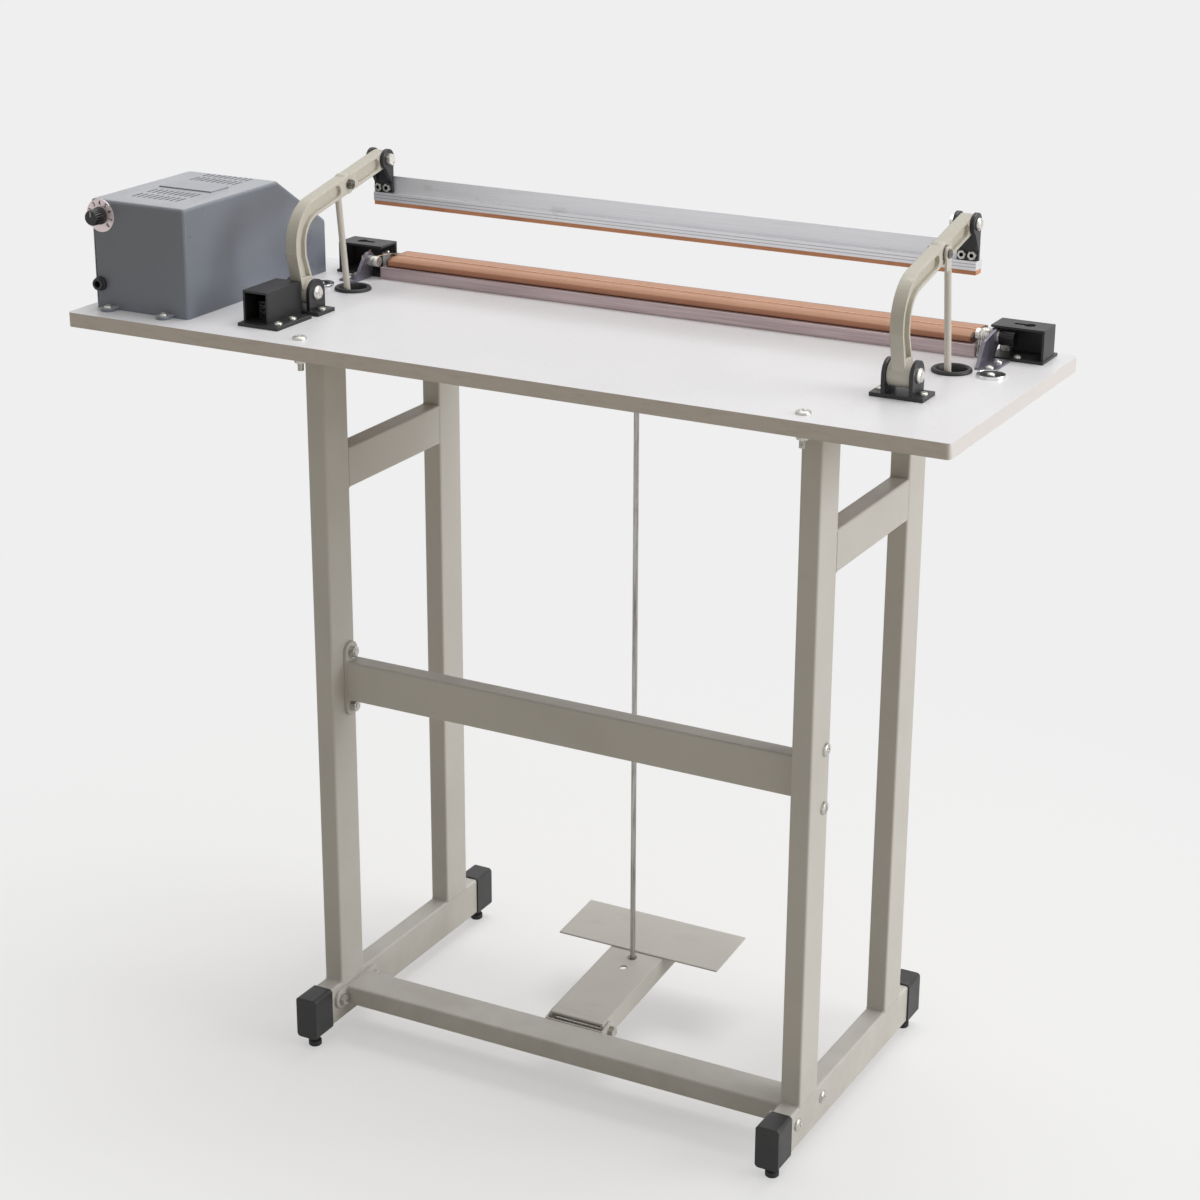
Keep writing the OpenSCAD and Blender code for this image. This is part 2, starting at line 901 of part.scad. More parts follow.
module box_shell() {
    mid = (bx[0] + bx[1]) / 2;
    color("slategray")
    difference() {
        union() {
            along_x(bx)
                box_2d(0);
            block([mid - rect[0] / 2, mid + rect[0] / 2],
                  [rect_y - rect[1] / 2, rect_y + rect[1] / 2],
                  [box_z - box_wall, box_z + rect[2]]);
            for (x = lug_x) {
                translate([x, -box_near - lug_reach, table_top])
                    cylinder(r = lug_r, h = lug_t);
                block([x - lug_r, x + lug_r],
                      [-box_near - lug_reach, -box_near + box_wall],
                      [table_top, table_top + lug_t]);
            }
        }
        along_x([bx[0] + box_wall, bx[1] - box_wall])
            box_2d(box_wall);
        for (y = louvre_y, k = [0 : louvre_n - 1])
            translate([mid + (k - (louvre_n - 1) / 2) * louvre_pitch, y, box_z - 2 * eps])
                linear_extrude(2 * eps + rect[2])
                    round_rect(louvre_w, louvre_len, louvre_r);
        bar_y(dial_x, [-box_near - eps, -box_near + 2 * eps], dial_z, bush_r);
        bar_y(gland_x, [-box_near - eps, -box_near + 2 * eps], table_top + gland_h,
              gland_neck);
        on_slope(switch_at)
            translate([-sw_body[0] / 2, -sw_body[1] / 2, -2 * box_wall])
                cube([sw_body[0], sw_body[1], 2 * box_wall + eps]);
        on_slope(lamp_at)
            translate([0, 0, -2 * box_wall])
                cylinder(r = lamp_r, h = 2 * box_wall + eps);
        for (p = lug_spots)
            translate([p[0], p[1], table_top - eps])
                cylinder(r = screw_r + bolt_gap, h = lug_t + 2 * eps);
    }
}

module transformer() {
    color("dimgray") {
        block([bx[0] + core_in, bx[1] - core_in], core_y, [table_top, table_top + core_h]);
        block([bx[0] + coil_in, bx[1] - coil_in], coil_y,
              [table_top + coil_h[0], table_top + coil_h[1]]);
    }
}

module timer_board() {
    color("green") {
        for (x = [bx[0] + core_in, bx[1] - core_in], y = board_posts)
            translate([x, y, table_top])
                cylinder(r = board_post_r, h = board_low);
        block([bx[0] + board_in, bx[1] - board_in], board_y,
              [table_top + board_low, table_top + board_high]);
        block([bx[0] + relay_x[0], bx[0] + relay_x[1]], relay_y,
              [table_top + board_high, table_top + relay_h]);
        translate([bx[1] - can_at[0], can_at[1], table_top + board_high])
            cylinder(r = can_r, h = can_h);
    }
}

module timer_pot() {
    inside = -box_near + box_wall;
    color("gray")
    difference() {
        union() {
            bar_y(dial_x, [inside, inside + pot_t], dial_z, pot_r);
            bar_y(dial_x, [-box_near - bush_out, inside + eps], dial_z, bush_r);
        }
        bar_y(dial_x, [-box_near - 2 * bush_out, inside + shaft_deep + eps], dial_z,
              shaft_r + run_gap);
    }
}

module dial_plate() {
    color("gainsboro")
    difference() {
        bar_y(dial_x, [-box_near - dial_t, -box_near], dial_z, dial_r);
        bar_y(dial_x, [-box_near - 2 * dial_t, -box_near + dial_t], dial_z, bush_r);
    }
}

module timer_knob() {
    back = -box_near - bush_out - knob_gap;
    color("black") {
        bar_y(dial_x, [back - eps, -box_near + box_wall + shaft_deep], dial_z, shaft_r);
        difference() {
            translate([dial_x, back, dial_z])
                rotate([90, 0, 0])
                    cylinder(r1 = knob_r, r2 = knob_r * knob_face, h = knob_len);
            for (k = [0 : flute_n - 1])
                translate([dial_x, back - knob_len / 6, dial_z])
                    rotate([90, k * 360 / flute_n, 0])
                        translate([knob_r + flute_r / 4, 0, 0])
                            cylinder(r = flute_r, h = knob_len, $fn = hex);
        }
    }
}

module lead_gland() {
    z = table_top + gland_h;
    color("black")
    difference() {
        union() {
            bar_y(gland_x, [-box_near - gland_step, -box_near], z, gland_r);
            bar_y(gland_x, [-box_near - gland_len, -box_near - gland_step], z,
                  gland_r - eps);
            bar_y(gland_x, [-box_near, -box_near + gland_len], z, gland_neck);
        }
        bar_y(gland_x, [-box_near - gland_len - eps, -box_near + gland_len + eps], z,
              gland_bore);
    }
}

module switch_frame() {
    color("black")
    on_slope(switch_at)
        difference() {
            union() {
                translate([0, 0, -sw_body[2]])
                    linear_extrude(sw_body[2])
                        square([sw_body[0], sw_body[1]], center = true);
                linear_extrude(sw_bezel[2])
                    round_rect(sw_bezel[0], sw_bezel[1], sw_round);
            }
            translate([0, 0, sw_bezel[2] - sw_cell[2] - eps])
                linear_extrude(sw_cell[2] + 2 * eps)
                    square([sw_cell[0], sw_cell[1]], center = true);
            bar_x([-sw_body[0] / 2 + eps / 2, sw_body[0] / 2 - eps / 2], 0, 0,
                  rock_pin + run_gap);
        }
}

module rocker() {
    color("red")
    on_slope(switch_at)
        rotate([rock_tilt, 0, 0]) {
            along_x([-rock_w / 2, rock_w / 2])
                polygon([[-rock_half, rock_high], [0, rock_mid], [rock_half, rock_high],
                         [rock_half, -rock_low], [-rock_half, -rock_low]]);
            bar_x([-sw_body[0] / 2 + rock_end, sw_body[0] / 2 - rock_end], 0, 0, rock_pin);
        }
}

module pilot_lamp() {
    color("red")
    on_slope(lamp_at) {
        translate([0, 0, -lamp_deep])
            cylinder(r = lamp_r, h = lamp_deep);
        cylinder(r = lamp_bezel, h = lamp_bezel_t);
        translate([0, 0, lamp_bezel_t])
            head(lamp_r, lamp_high);
    }
}

module screw(p) {
    translate([p[0], p[1], table_top + p[2]])
        head(screw_head_r, screw_head_t);
    translate([p[0], p[1], table_top - screw_bite])
        cylinder(r = screw_r, h = screw_bite + p[2]);
}

module table_screws() {
    color("silver")
    for (p = spots)
        screw(p);
}

// Hinges and arms

module hinge_bracket(x) {
    difference() {
        union() {
            block([x - hinge_w / 2, x + hinge_w / 2],
                  [hy - hinge_d / 2, hy + hinge_d / 2],
                  [table_top, table_top + hinge_t]);
            for (s = [-1, 1])
                along_x([x + min(s * ear_gap / 2, s * (ear_gap / 2 + ear_t)),
                         x + max(s * ear_gap / 2, s * (ear_gap / 2 + ear_t))]) {
                    translate([hy, hz])
                        circle(ear_r);
                    translate([hy - ear_r, table_top])
                        square([2 * ear_r, hz - table_top]);
                }
        }
        bar_x([x - hinge_w, x + hinge_w], hy, hz, pin_r);
        for (s = [-1, 1])
            translate([x + s * hinge_screw, hy, table_top - eps])
                cylinder(r = screw_r + bolt_gap, h = hinge_t + 2 * eps);
    }
}

module hinge_brackets() {
    color("black")
    for (x = ax)
        hinge_bracket(x);
}

module hinge_pins() {
    reach = ear_gap / 2 + ear_t;
    color("silver")
    for (x = ax) {
        bar_x([x - reach - pin_tail, x + reach], hy, hz, pin_r);
        head_on_x(x + reach, hy, hz, 1, pin_head_r, pin_head_t);
        bar_x([x - reach - clip_t, x - reach], hy, hz, clip_r);
    }
}

// Points of an arc about [y, z] between two angles
function arc(y, z, r, a, b) =
    [for (i = [0 : arc_steps]) let (t = a + (b - a) * i / arc_steps)
        [y + r * cos(t), z + r * sin(t)]];

// Point of the arm's centre line, a distance along from the bend's end
function on_arm(a) = [ey + a * cos(arm_slope), ez + a * sin(arm_slope)];

// J outline of half width h: up the knee, round the bend, out to a round end
function j_outline(h, foot, end) = concat(
    [foot[0], [by - bend_r - h, knee_near]],
    arc(by, bz, bend_r + h, 180, 90 + arm_slope),
    arc(on_arm(end)[0], on_arm(end)[1], h, 90 + arm_slope, arm_slope - 90),
    arc(by, bz, bend_r - h, 90 + arm_slope, 180),
    [[by - bend_r + h, knee_far], foot[1]]);

// Slot along the arm of half width h between two round ends
function slot_outline(h, a, b) = concat(
    arc(on_arm(a)[0], on_arm(a)[1], h, 90 + arm_slope, 270 + arm_slope),
    arc(on_arm(b)[0], on_arm(b)[1], h, arm_slope - 90, arm_slope + 90));

// Pockets that leave a rim and a web
module pockets(x) {
    rise = pocket_low - hz;
    slant_near = (low_near - hy + root_w) / (knee_near - hz);
    slant_far = (low_far - hy - root_w) / (knee_far - hz);
    along_x(x)
        polygon(j_outline(pocket_r, [[hy - root_w + arm_rim + slant_near * rise, pocket_low],
                                     [hy + root_w - arm_rim + slant_far * rise, pocket_low]],
                          rod_at - rod_stop));
    along_x(x)
        polygon(slot_outline(pocket_r, rod_at + rod_stop, tip_at - tip_stop));
}

module arm(x) {
    color("tan")
    difference() {
        union() {
            along_x([x - arm_t / 2, x + arm_t / 2])
                polygon(j_outline(arm_d / 2, [[hy - root_w, hz], [hy + root_w, hz]], tip_at));
            bar_x([x - arm_t / 2, x + arm_t / 2], ry, rz, boss_r);
            bar_x([x - hub_w / 2, x + hub_w / 2], hy, hz, hub_r);
        }
        pockets([x + arm_web / 2, x + arm_t]);
        pockets([x - arm_t, x - arm_web / 2]);
        bar_x([x - hub_w, x + hub_w], hy, hz, pin_r + run_gap);
        for (s = [-1, 1])
            bar_x([x + s * hub_w / 2 - spring_deep, x + s * hub_w / 2 + spring_deep],
                  hy, hz, spring_r);
        bar_x([x - hub_w, x + hub_w], ry, rz, joint_r);
        bar_x([x - hub_w, x + hub_w], ty, tz, joint_r);
    }
}

module arm_left() {
    arm(ax[0]);
}

module arm_right() {
    arm(ax[1]);
}

module hub_springs() {
    color("gray")
    for (x = ax, s = [-1, 1], k = [0 : spring_n - 1])
        translate([x + s * (hub_w / 2 - spring_deep + spring_wire + k * spring_pitch), hy, hz])
            rotate([0, 90, 0])
                rotate_extrude()
                    translate([spring_r - spring_wire, 0])
                        circle(spring_wire, $fn = 16);
}

module rod_pins() {
    color("silver")
    for (s = [-1, 1]) {
        x = head_x + s * arm_span / 2;
        face = x + s * arm_t / 2;
        back = x - s * arm_t / 2;
        out = face + s * (washer_t + eye_t + 2 * eye_gap);
        bar_x([min(face, face + s * washer_t), max(face, face + s * washer_t)],
              ry, rz, washer_r);
        bar_x([min(back, out), max(back, out)], ry, rz, joint_r);
        head_on_x(out, ry, rz, s, pin_cap_r, pin_cap_t);
        nut_on_x(back, ry, rz, -s, pin_nut_r, joint_nut_t);
    }
}

module tip_bolts() {
    color("silver")
    for (s = [-1, 1]) {
        x = head_x + s * arm_span / 2;
        reach = tip_out + side_gap;
        bar_x([x - reach, x + reach], ty, tz, joint_r);
        head_on_x(x + s * reach, ty, tz, s, joint_head_r, joint_head_t);
        nut_on_x(x - s * reach, ty, tz, -s, joint_head_r, joint_nut_t);
    }
}

// Upper jaw

module tip_ear_2d() {
    difference() {
        union() {
            translate([ty, tz])
                circle(tip_ear_r);
            polygon([[ty - tip_ear_r, tz], [ty + tip_ear_r, tz],
                     [web_y, plate_top - tip_notch], [web_y, foot_top],
                     [plate_y, foot_top], [plate_y, foot_top + tip_gusset]]);
        }
        translate([ty, tz])
            circle(joint_r + run_gap);
        translate([web_y, foot_top - eps])
            square([tip_ear_r, plate_top - foot_top + eps]);
    }
}

module tip_brackets() {
    color("black")
    for (x = ax)
        difference() {
            union() {
                block([x - tip_out, x + tip_out], [plate_y, web_y], [foot_top, plate_top]);
                along_x([x - tip_out, x - tip_in])
                    tip_ear_2d();
                along_x([x + tip_in, x + tip_out])
                    tip_ear_2d();
            }
            for (s = [-1, 1])
                bar_y(x + s * jaw_bolt_x, [plate_y - eps, web_y + eps], jaw_bolt_z,
                      jaw_bolt_r + bolt_gap / 2);
        }
}

module jaw_bar() {
    color("silver")
    difference() {
        along_x(jx)
            difference() {
                union() {
                    translate([foot_y, foot_z])
                        square([foot_d, foot_t]);
                    translate([web_y, foot_top])
                        square([web_t, web_h]);
                    translate([web_y + web_t, foot_top])
                        square(fillet_r);
                }
                translate([web_y + web_t + fillet_r, foot_top + fillet_r])
                    circle(fillet_r);
            }
        for (x = ax, s = [-1, 1])
            bar_y(x + s * jaw_bolt_x, [web_y - eps, web_y + web_t + fillet_r],
                  jaw_bolt_z, jaw_bolt_r + bolt_gap / 2);
        for (x = ax, s = [-1, 1])
            bar_y(x + s * jaw_bolt_x, [web_y + web_t, web_y + web_t + fillet_r],
                  jaw_bolt_z, jaw_nut_r + bolt_gap);
    }
}

module jaw_bolts() {
    color("silver")
    for (x = ax, s = [-1, 1]) {
        bar_y(x + s * jaw_bolt_x, [plate_y - jaw_nut_t, web_y + web_t], jaw_bolt_z,
              jaw_bolt_r);
        translate([x + s * jaw_bolt_x, plate_y, jaw_bolt_z])
            rotate([90, 0, 0])
                cylinder(r = jaw_nut_r, h = jaw_nut_t, $fn = hex);
        translate([x + s * jaw_bolt_x, web_y + web_t, jaw_bolt_z])
            rotate([-90, 0, 0])
                head(jaw_nut_r, jaw_nut_t);
    }
}

module jaw_pad() {
    // The groove lets the cutting wire in when the jaws are closed
    groove = wire_y - jaw_shift - slot_w / 2;
    color("saddlebrown")
    difference() {
        block(jx, [pad_y, pad_y + pad_d], [foot_z - pad_t, foot_z]);
        block([jx[0] - eps, jx[1] + eps], [groove, groove + slot_w],
              [foot_z - pad_t - eps, foot_z - pad_t + slot_t]);
    }
}

// Lower jaw

module jaw_base() {
    color("rosybrown")
    difference() {
        block(jx, [base_y, base_y + base_d], [table_top, base_z]);
        block([jx[0] - eps, jx[1] + eps], [base_y + base_wall, base_y + base_d - base_wall],
              [table_top - eps, base_z - base_wall]);
    }
}

module block_2d(t) {
    polygon([[block_y - t, base_z + (t > 0 ? cloth_low : 0)],
             [block_y - t, block_z - bevel_z + t / 2],
             [block_y + bevel_y - t / 2, block_z + t],
             [block_y + block_d + t, block_z + t],
             [block_y + block_d + t, base_z + (t > 0 ? cloth_low : 0)]]);
}

module jaw_block() {
    color("dimgray")
    along_x([jx[0] + block_in, jx[1] - block_in])
        difference() {
            block_2d(0);
            translate([seal_y - ribbon_w / 2, block_z - ribbon_t])
                square([ribbon_w, ribbon_t + eps]);
        }
}

module sealing_ribbon() {
    color("silver")
    block([left_x - post_in - post_w, right_x + post_in + post_w],
          [seal_y - ribbon_w / 2, seal_y + ribbon_w / 2], [block_z - ribbon_t, block_z]);
}

module jaw_cloth() {
    color("sienna")
    along_x([jx[0] + cloth_in, jx[1] - cloth_in])
        difference() {
            block_2d(cloth_t);
            block_2d(0);
        }
}

// Straight piece of wire between two points
module wire(a, b) {
    d = b - a;
    translate(a)
        rotate([0, acos(d[2] / norm(d)), atan2(d[1], d[0])])
            cylinder(r = wire_r, h = norm(d));
    translate(b)
        sphere(wire_bead);
}

module cutting_wire() {
    a = [left_x + clamp_w / 2, wire_y, wire_z];
    b = [wire_x, wire_y, wire_z];
    color("silver") {
        wire(a, b);
        wire(b, [wire_x, term_y, term_z + stud_r + wire_bead]);
        wire([a[0], left_term_y, left_term_z + clamp_r + wire_bead], a);
    }
}

module term_2d(near, y, z) {
    translate([y, z])
        circle(term_r);
    polygon([[near, table_top], [term_far, table_top], [y + term_r, z], [y, z + term_r],
             [near + term_rake, z + term_neck]]);
}

module terminal_brackets() {
    color("dimgray") {
        difference() {
            union() {
                along_x([term_x, term_x + term_t])
                    term_2d(term_near[0], term_y, term_z);
                block([term_x, term_x + term_base], [term_near[0], term_far],
                      [table_top, table_top + term_t - 1]);
            }
            bar_x([term_x - eps, term_x + term_t + eps], term_y, term_z, spool_neck);
            for (p = term_spots)
                translate([p[0], p[1], table_top - eps])
                    cylinder(r = screw_r + bolt_gap, h = term_t + 2 * eps);
        }
        difference() {
            union() {
                along_x([term_left, term_left + term_t])
                    term_2d(term_near[1], left_term_y, left_term_z);
                block([term_left + term_t - term_base, term_left + term_t],
                      [term_near[1], term_far],
                      [table_top, table_top + term_t - 1]);
            }
            bar_x([term_left - eps, term_left + term_t + eps], left_term_y, left_term_z,
                  stud_r);
            for (p = term_spots)
                translate([p[0], p[1], table_top - eps])
                    cylinder(r = screw_r + bolt_gap, h = term_t + 2 * eps);
        }
    }
}

module terminal_clamps() {
    color("silver") {
        // Right stud with its insulating spool, washers and nut
        bar_x([stack_x - stud_nut_t - stud_tip, tension_x + tension_len - stud_end],
              term_y, term_z, stud_r);
        bar_x([term_x - spool_t, term_x], term_y, term_z, spool_r);
        bar_x([term_x - collar_t, term_x], term_y, term_z, collar_r);
        bar_x([term_x - eps, term_x + term_t + eps], term_y, term_z, spool_neck);
        bar_x([term_x + term_t, term_x + term_t + cap_t], term_y, term_z, spool_r);
        bar_x([term_x - spool_t - washer_gap, term_x - spool_t], term_y, term_z, stud_nut_r);
        bar_x([stack_x, stack_x + washer_gap], term_y, term_z, stud_nut_r);
        nut_on_x(stack_x, term_y, term_z, -1, stud_nut_r, stud_nut_t);
        // Left stud with its round clamp
        bar_x([term_left - stud_nut_t - stud_tip, left_x + clamp_w],
              left_term_y, left_term_z, stud_r);
        nut_on_x(term_left, left_term_y, left_term_z, -1, stud_nut_r, stud_nut_t);
        bar_x([term_left + term_t, left_x + clamp_w], left_term_y, left_term_z, clamp_r);
        // Posts that hold the sealing ribbon inside the end housings
        for (x = [left_x - post_in - post_w, right_x + post_in]) {
            block([x, x + post_w], [seal_y - post_d / 2, seal_y + post_d / 2],
                  [table_top + flange_t, block_z - ribbon_t]);
            translate([x + post_w / 2, seal_y, block_z])
                head(screw_r, post_head_t);
        }
    }
}

module tension_knob() {
    color("black")
    difference() {
        bar_x([tension_x, tension_x + tension_len], term_y, term_z, tension_r);
        bar_x([tension_x - eps, tension_x + tension_len - stud_end + side_gap],
              term_y, term_z, stud_r + run_gap);
        for (k = [0 : flute_n - 1])
            translate([tension_x + tension_land, term_y, term_z])
                rotate([k * 360 / flute_n, 0, 0])
                    translate([0, tension_r + flute_r / 4, 0])
                        rotate([0, 90, 0])
                            cylinder(r = tension_flute, h = tension_len, $fn = hex);
    }
}

// Housing drawn for the right end, inner end at X = 0
module end_housing(s, x) {
    color("black")
    translate([x, 0, 0])
        mirror([s < 0 ? 1 : 0, 0, 0])
            difference() {
                union() {
                    block([0, house_len], [house_y, house_y + house_d],
                          [table_top, table_top + house_h]);
                    block([0, house_len + flange_end],
                          [house_y - flange_near, house_y + house_d + flange_far],
                          [table_top, table_top + flange_t]);
                }
                block([-eps, house_len - house_wall],
                      [house_y - eps, house_y + house_d - house_wall],
                      [table_top + flange_t, table_top + house_h - house_wall]);
                translate([house_len - key_at, house_y + house_d / 2,
                           table_top + house_h - house_wall - eps]) {
                    cylinder(r = key_r, h = house_wall + 2 * eps);
                    translate([-key_len, -key_w / 2, 0])
                        cube([key_len, key_w, house_wall + 2 * eps]);
                }
                translate([house_screw[0], house_y + house_screw[1], table_top - eps])
                    cylinder(r = screw_r + bolt_gap, h = flange_t + 2 * eps);
            }
}

module end_housing_left() {
    end_housing(-1, left_x);
}

module end_housing_right() {
    end_housing(1, right_x);
}

module switch_housing() {
    color("black")
    difference() {
        union() {
            block(sw_x, sw_y, [table_top, table_top + sw_h]);
            block(sw_flange_x, sw_flange_y, [table_top, table_top + sw_flange_t]);
        }
        block([sw_x[0] + house_wall, sw_x[1] - house_wall],
              [sw_y[0] - eps, sw_y[1] - house_wall],
              [table_top + sw_flange_t, table_top + sw_h - house_wall]);
        for (p = switch_spots)
            translate([p[0], p[1], table_top - eps])
                cylinder(r = screw_r + bolt_gap, h = sw_flange_t + 2 * eps);
    }
}

module micro_switch() {
    low = table_top + sw_flange_t;
    color("gray") {
        block(micro_x, micro_y, [low, low + micro_h]);
        block([micro_x[0] + button[0], micro_x[1] - button[0]],
              [micro_y[1], micro_y[1] + button[0]], [low + button[1], low + button[2]]);
        for (z = tabs)
            block([micro_x[0] + tab[0], micro_x[1] - tab[0]],
                  [micro_y[0] - tab[0], micro_y[0]], [low + z, low + z + tab[1]]);
    }
}

// Pull linkage

// Local frame of the pull rods: the rod pin's axis at 0, Z up along the rods
module on_rods(x) {
    translate([x, ry, rz])
        rotate([rod_lean, 0, 0])
            children();
}

module pull_rods() {
    low = rod_len - yoke_up + yoke_t / 2 + rod_tail;
    color("silver")
    for (s = [-1, 1])
        on_rods(head_x + s * rod_x)
            difference() {
                union() {
                    bar_x([-eye_t / 2, eye_t / 2], 0, 0, eye_r);
                    block([-eye_t / 2, eye_t / 2], [-neck_w / 2, neck_w / 2], [-neck_len, 0]);
                    translate([0, 0, -low])
                        cylinder(r = pull_r, h = low - neck_len + eps);
                }
                bar_x([-eps * eye_t, eps * eye_t], 0, 0, joint_r + run_gap);
            }
}

module rod_nuts() {
    color("silver")
    for (s = [-1, 1], z = [-rod_len + yoke_up + yoke_t / 2,
                           -rod_len + yoke_up - yoke_t / 2 - rod_nut_t])
        on_rods(head_x + s * rod_x)
            translate([0, 0, z])
                difference() {
                    cylinder(r = pull_nut_r, h = rod_nut_t, $fn = hex);
                    translate([0, 0, -eps])
                        cylinder(r = pull_r, h = rod_nut_t + 2 * eps);
                }
}

module yoke_bar() {
    mid = -rod_len + yoke_up;
    drift = stand_x - head_x;
    color("gray")
    on_rods(head_x)
        difference() {
            union() {
                translate([0, 0, mid - yoke_t / 2])
                    linear_extrude(yoke_t)
                        round_rect(2 * rod_x + 2 * yoke_end, yoke_d, yoke_r);
                for (s = [-1, 1])
                    along_x([drift + min(s * clevis_gap / 2, s * (clevis_gap / 2 + clevis_t)),
                             drift + max(s * clevis_gap / 2, s * (clevis_gap / 2 + clevis_t))]) {
                        translate([0, -rod_len])
                            circle(clevis_r);
                        translate([-clevis_r, -rod_len])
                            square([2 * clevis_r, yoke_up - yoke_t / 2]);
                    }
            }
            for (s = [-1, 1])
                translate([s * rod_x, 0, mid - yoke_t])
                    cylinder(r = pull_r, h = 2 * yoke_t);
            bar_x([drift - clevis_gap, drift + clevis_gap], 0, -rod_len, joint_r);
        }
}

module yoke_pin() {
    reach = clevis_gap / 2 + clevis_t;
    color("silver") {
        bar_x([stand_x - reach, stand_x + reach], yoke_y, yoke_z, joint_r);
        head_on_x(stand_x + reach, yoke_y, yoke_z, 1, joint_head_r, joint_head_t);
        nut_on_x(stand_x - reach, yoke_y, yoke_z, -1, joint_head_r, joint_nut_t);
    }
}

// Local frame of the centre rod: the yoke axis at 0, Z up along the rod
module on_centre_rod() {
    translate([stand_x, yoke_y, yoke_z])
        rotate([rod_swing, 0, 0])
            children();
}

module centre_rod() {
    low = nut_at + end_washer_t + rod_nut_t + end_tail;
    color("silver")
    on_centre_rod()
        difference() {
            union() {
                bar_x([-link_w / 2, link_w / 2], 0, 0, link_eye);
                translate([0, 0, -low])
                    cylinder(r = rod_r, h = low - joint_r - eps);
            }
            bar_x([-link_w, link_w], 0, 0, joint_r + run_gap);
        }
}

module rod_end_nut() {
    color("silver")
    on_centre_rod()
        difference() {
            union() {
                translate([0, 0, -nut_at - end_washer_t])
                    cylinder(r = end_washer_r, h = end_washer_t);
                translate([0, 0, -nut_at - end_washer_t - rod_nut_t])
                    cylinder(r = rod_nut_r, h = rod_nut_t, $fn = hex);
            }
            translate([0, 0, -nut_at - end_washer_t - rod_nut_t - eps])
                cylinder(r = rod_r, h = rod_nut_t + end_washer_t + 2 * eps);
        }
}

// Local frame of the pedal: its pivot at 0, Y along the arm
module on_pedal() {
    translate([stand_x, -pedal_y, pedal_h])
        rotate([pedal_rise, 0, 0])
            children();
}

module pedal_arm() {
    half = pedal_w / 2;
    color("tan")
    on_pedal()
        difference() {
            block([-half, half], [-pedal_back, pedal_len], [pedal_top - pedal_side, pedal_top]);
            block([-half + pedal_t, half - pedal_t], [-pedal_back - eps, pedal_len + eps],
                  [pedal_top - pedal_side - eps, pedal_top - pedal_t]);
            bar_x([-pedal_w, pedal_w], 0, 0, pedal_pin_r + run_gap);
            translate([0, rod_hole, pedal_top - 2 * pedal_t])
                cylinder(r = hole_r, h = 3 * pedal_t);
            translate([0, spare_hole, pedal_top - 2 * pedal_t])
                cylinder(r = spare_r, h = 3 * pedal_t);
        }
}

module treadle() {
    color("tan")
    on_pedal()
        translate([0, treadle_at + treadle_d / 2, pedal_top])
            linear_extrude(treadle_t)
                round_rect(treadle_w, treadle_d, treadle_r);
}

module pedal_bracket() {
    face = -rail_y + tube_d / 2;
    half = pedal_w / 2 + pedal_gap;
    color("tan")
    difference() {
        union() {
            block([stand_x - half - bracket_t, stand_x + half + bracket_t],
                  [face, face + bracket_t], [rail_h - tube_w / 2, rail_h + tube_w / 2]);
            for (x = [stand_x - half - bracket_t, stand_x + half])
                along_x([x, x + bracket_t]) {
                    translate([-pedal_y, pedal_h])
                        circle(bracket_ear);
                    polygon([[face, rail_h - tube_w / 2], [face, rail_h + tube_w / 2],
                             [-pedal_y, pedal_h + bracket_ear],
                             [-pedal_y, pedal_h - bracket_ear]]);
                }
        }
        bar_x([stand_x - pedal_w, stand_x + pedal_w], -pedal_y, pedal_h, pedal_pin_r);
    }
}

module pedal_pin() {
    reach = pedal_w / 2 + pedal_gap + bracket_t;
    color("silver") {
        bar_x([stand_x - reach, stand_x + reach], -pedal_y, pedal_h, pedal_pin_r);
        head_on_x(stand_x - reach, -pedal_y, pedal_h, -1, pedal_head_r, pedal_head_t);
        nut_on_x(stand_x + reach, -pedal_y, pedal_h, 1, pedal_head_r, nut_t);
    }
}

// Parts drawn

leg_left_near();
leg_left_far();
leg_right_near();
leg_right_far();
base_tubes();
side_rails();
top_bars();
cross_tubes();
end_plates();
stand_bolts();
tube_caps();
foot_glides();
table_top_board();
table_bolts();
rod_grommets();
table_discs();
box_shell();
transformer();
timer_board();
timer_pot();
dial_plate();
lead_gland();
switch_frame();
pilot_lamp();
hinge_brackets();
hinge_pins();
table_screws();
switch_housing();
micro_switch();
end_housing_left();
end_housing_right();
jaw_base();
jaw_block();
sealing_ribbon();
cutting_wire();
jaw_cloth();
terminal_brackets();
terminal_clamps();
pedal_bracket();
pedal_pin();
arm_left();
arm_right();
rod_pins();
tip_bolts();
hub_springs();
jaw_bar();
jaw_pad();
tip_brackets();
jaw_bolts();
pull_rods();
yoke_bar();
yoke_pin();
rod_nuts();
centre_rod();
rod_end_nut();
pedal_arm();
treadle();
timer_knob();
rocker();
tension_knob();
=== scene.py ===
"""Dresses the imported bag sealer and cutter: finishes, fasteners with driven recesses,
weld beads, the printed dial, the cloth over the lower jaw and the wires at its ends."""

import math

import bmesh
import bpy
from mathutils import Matrix, Vector, noise


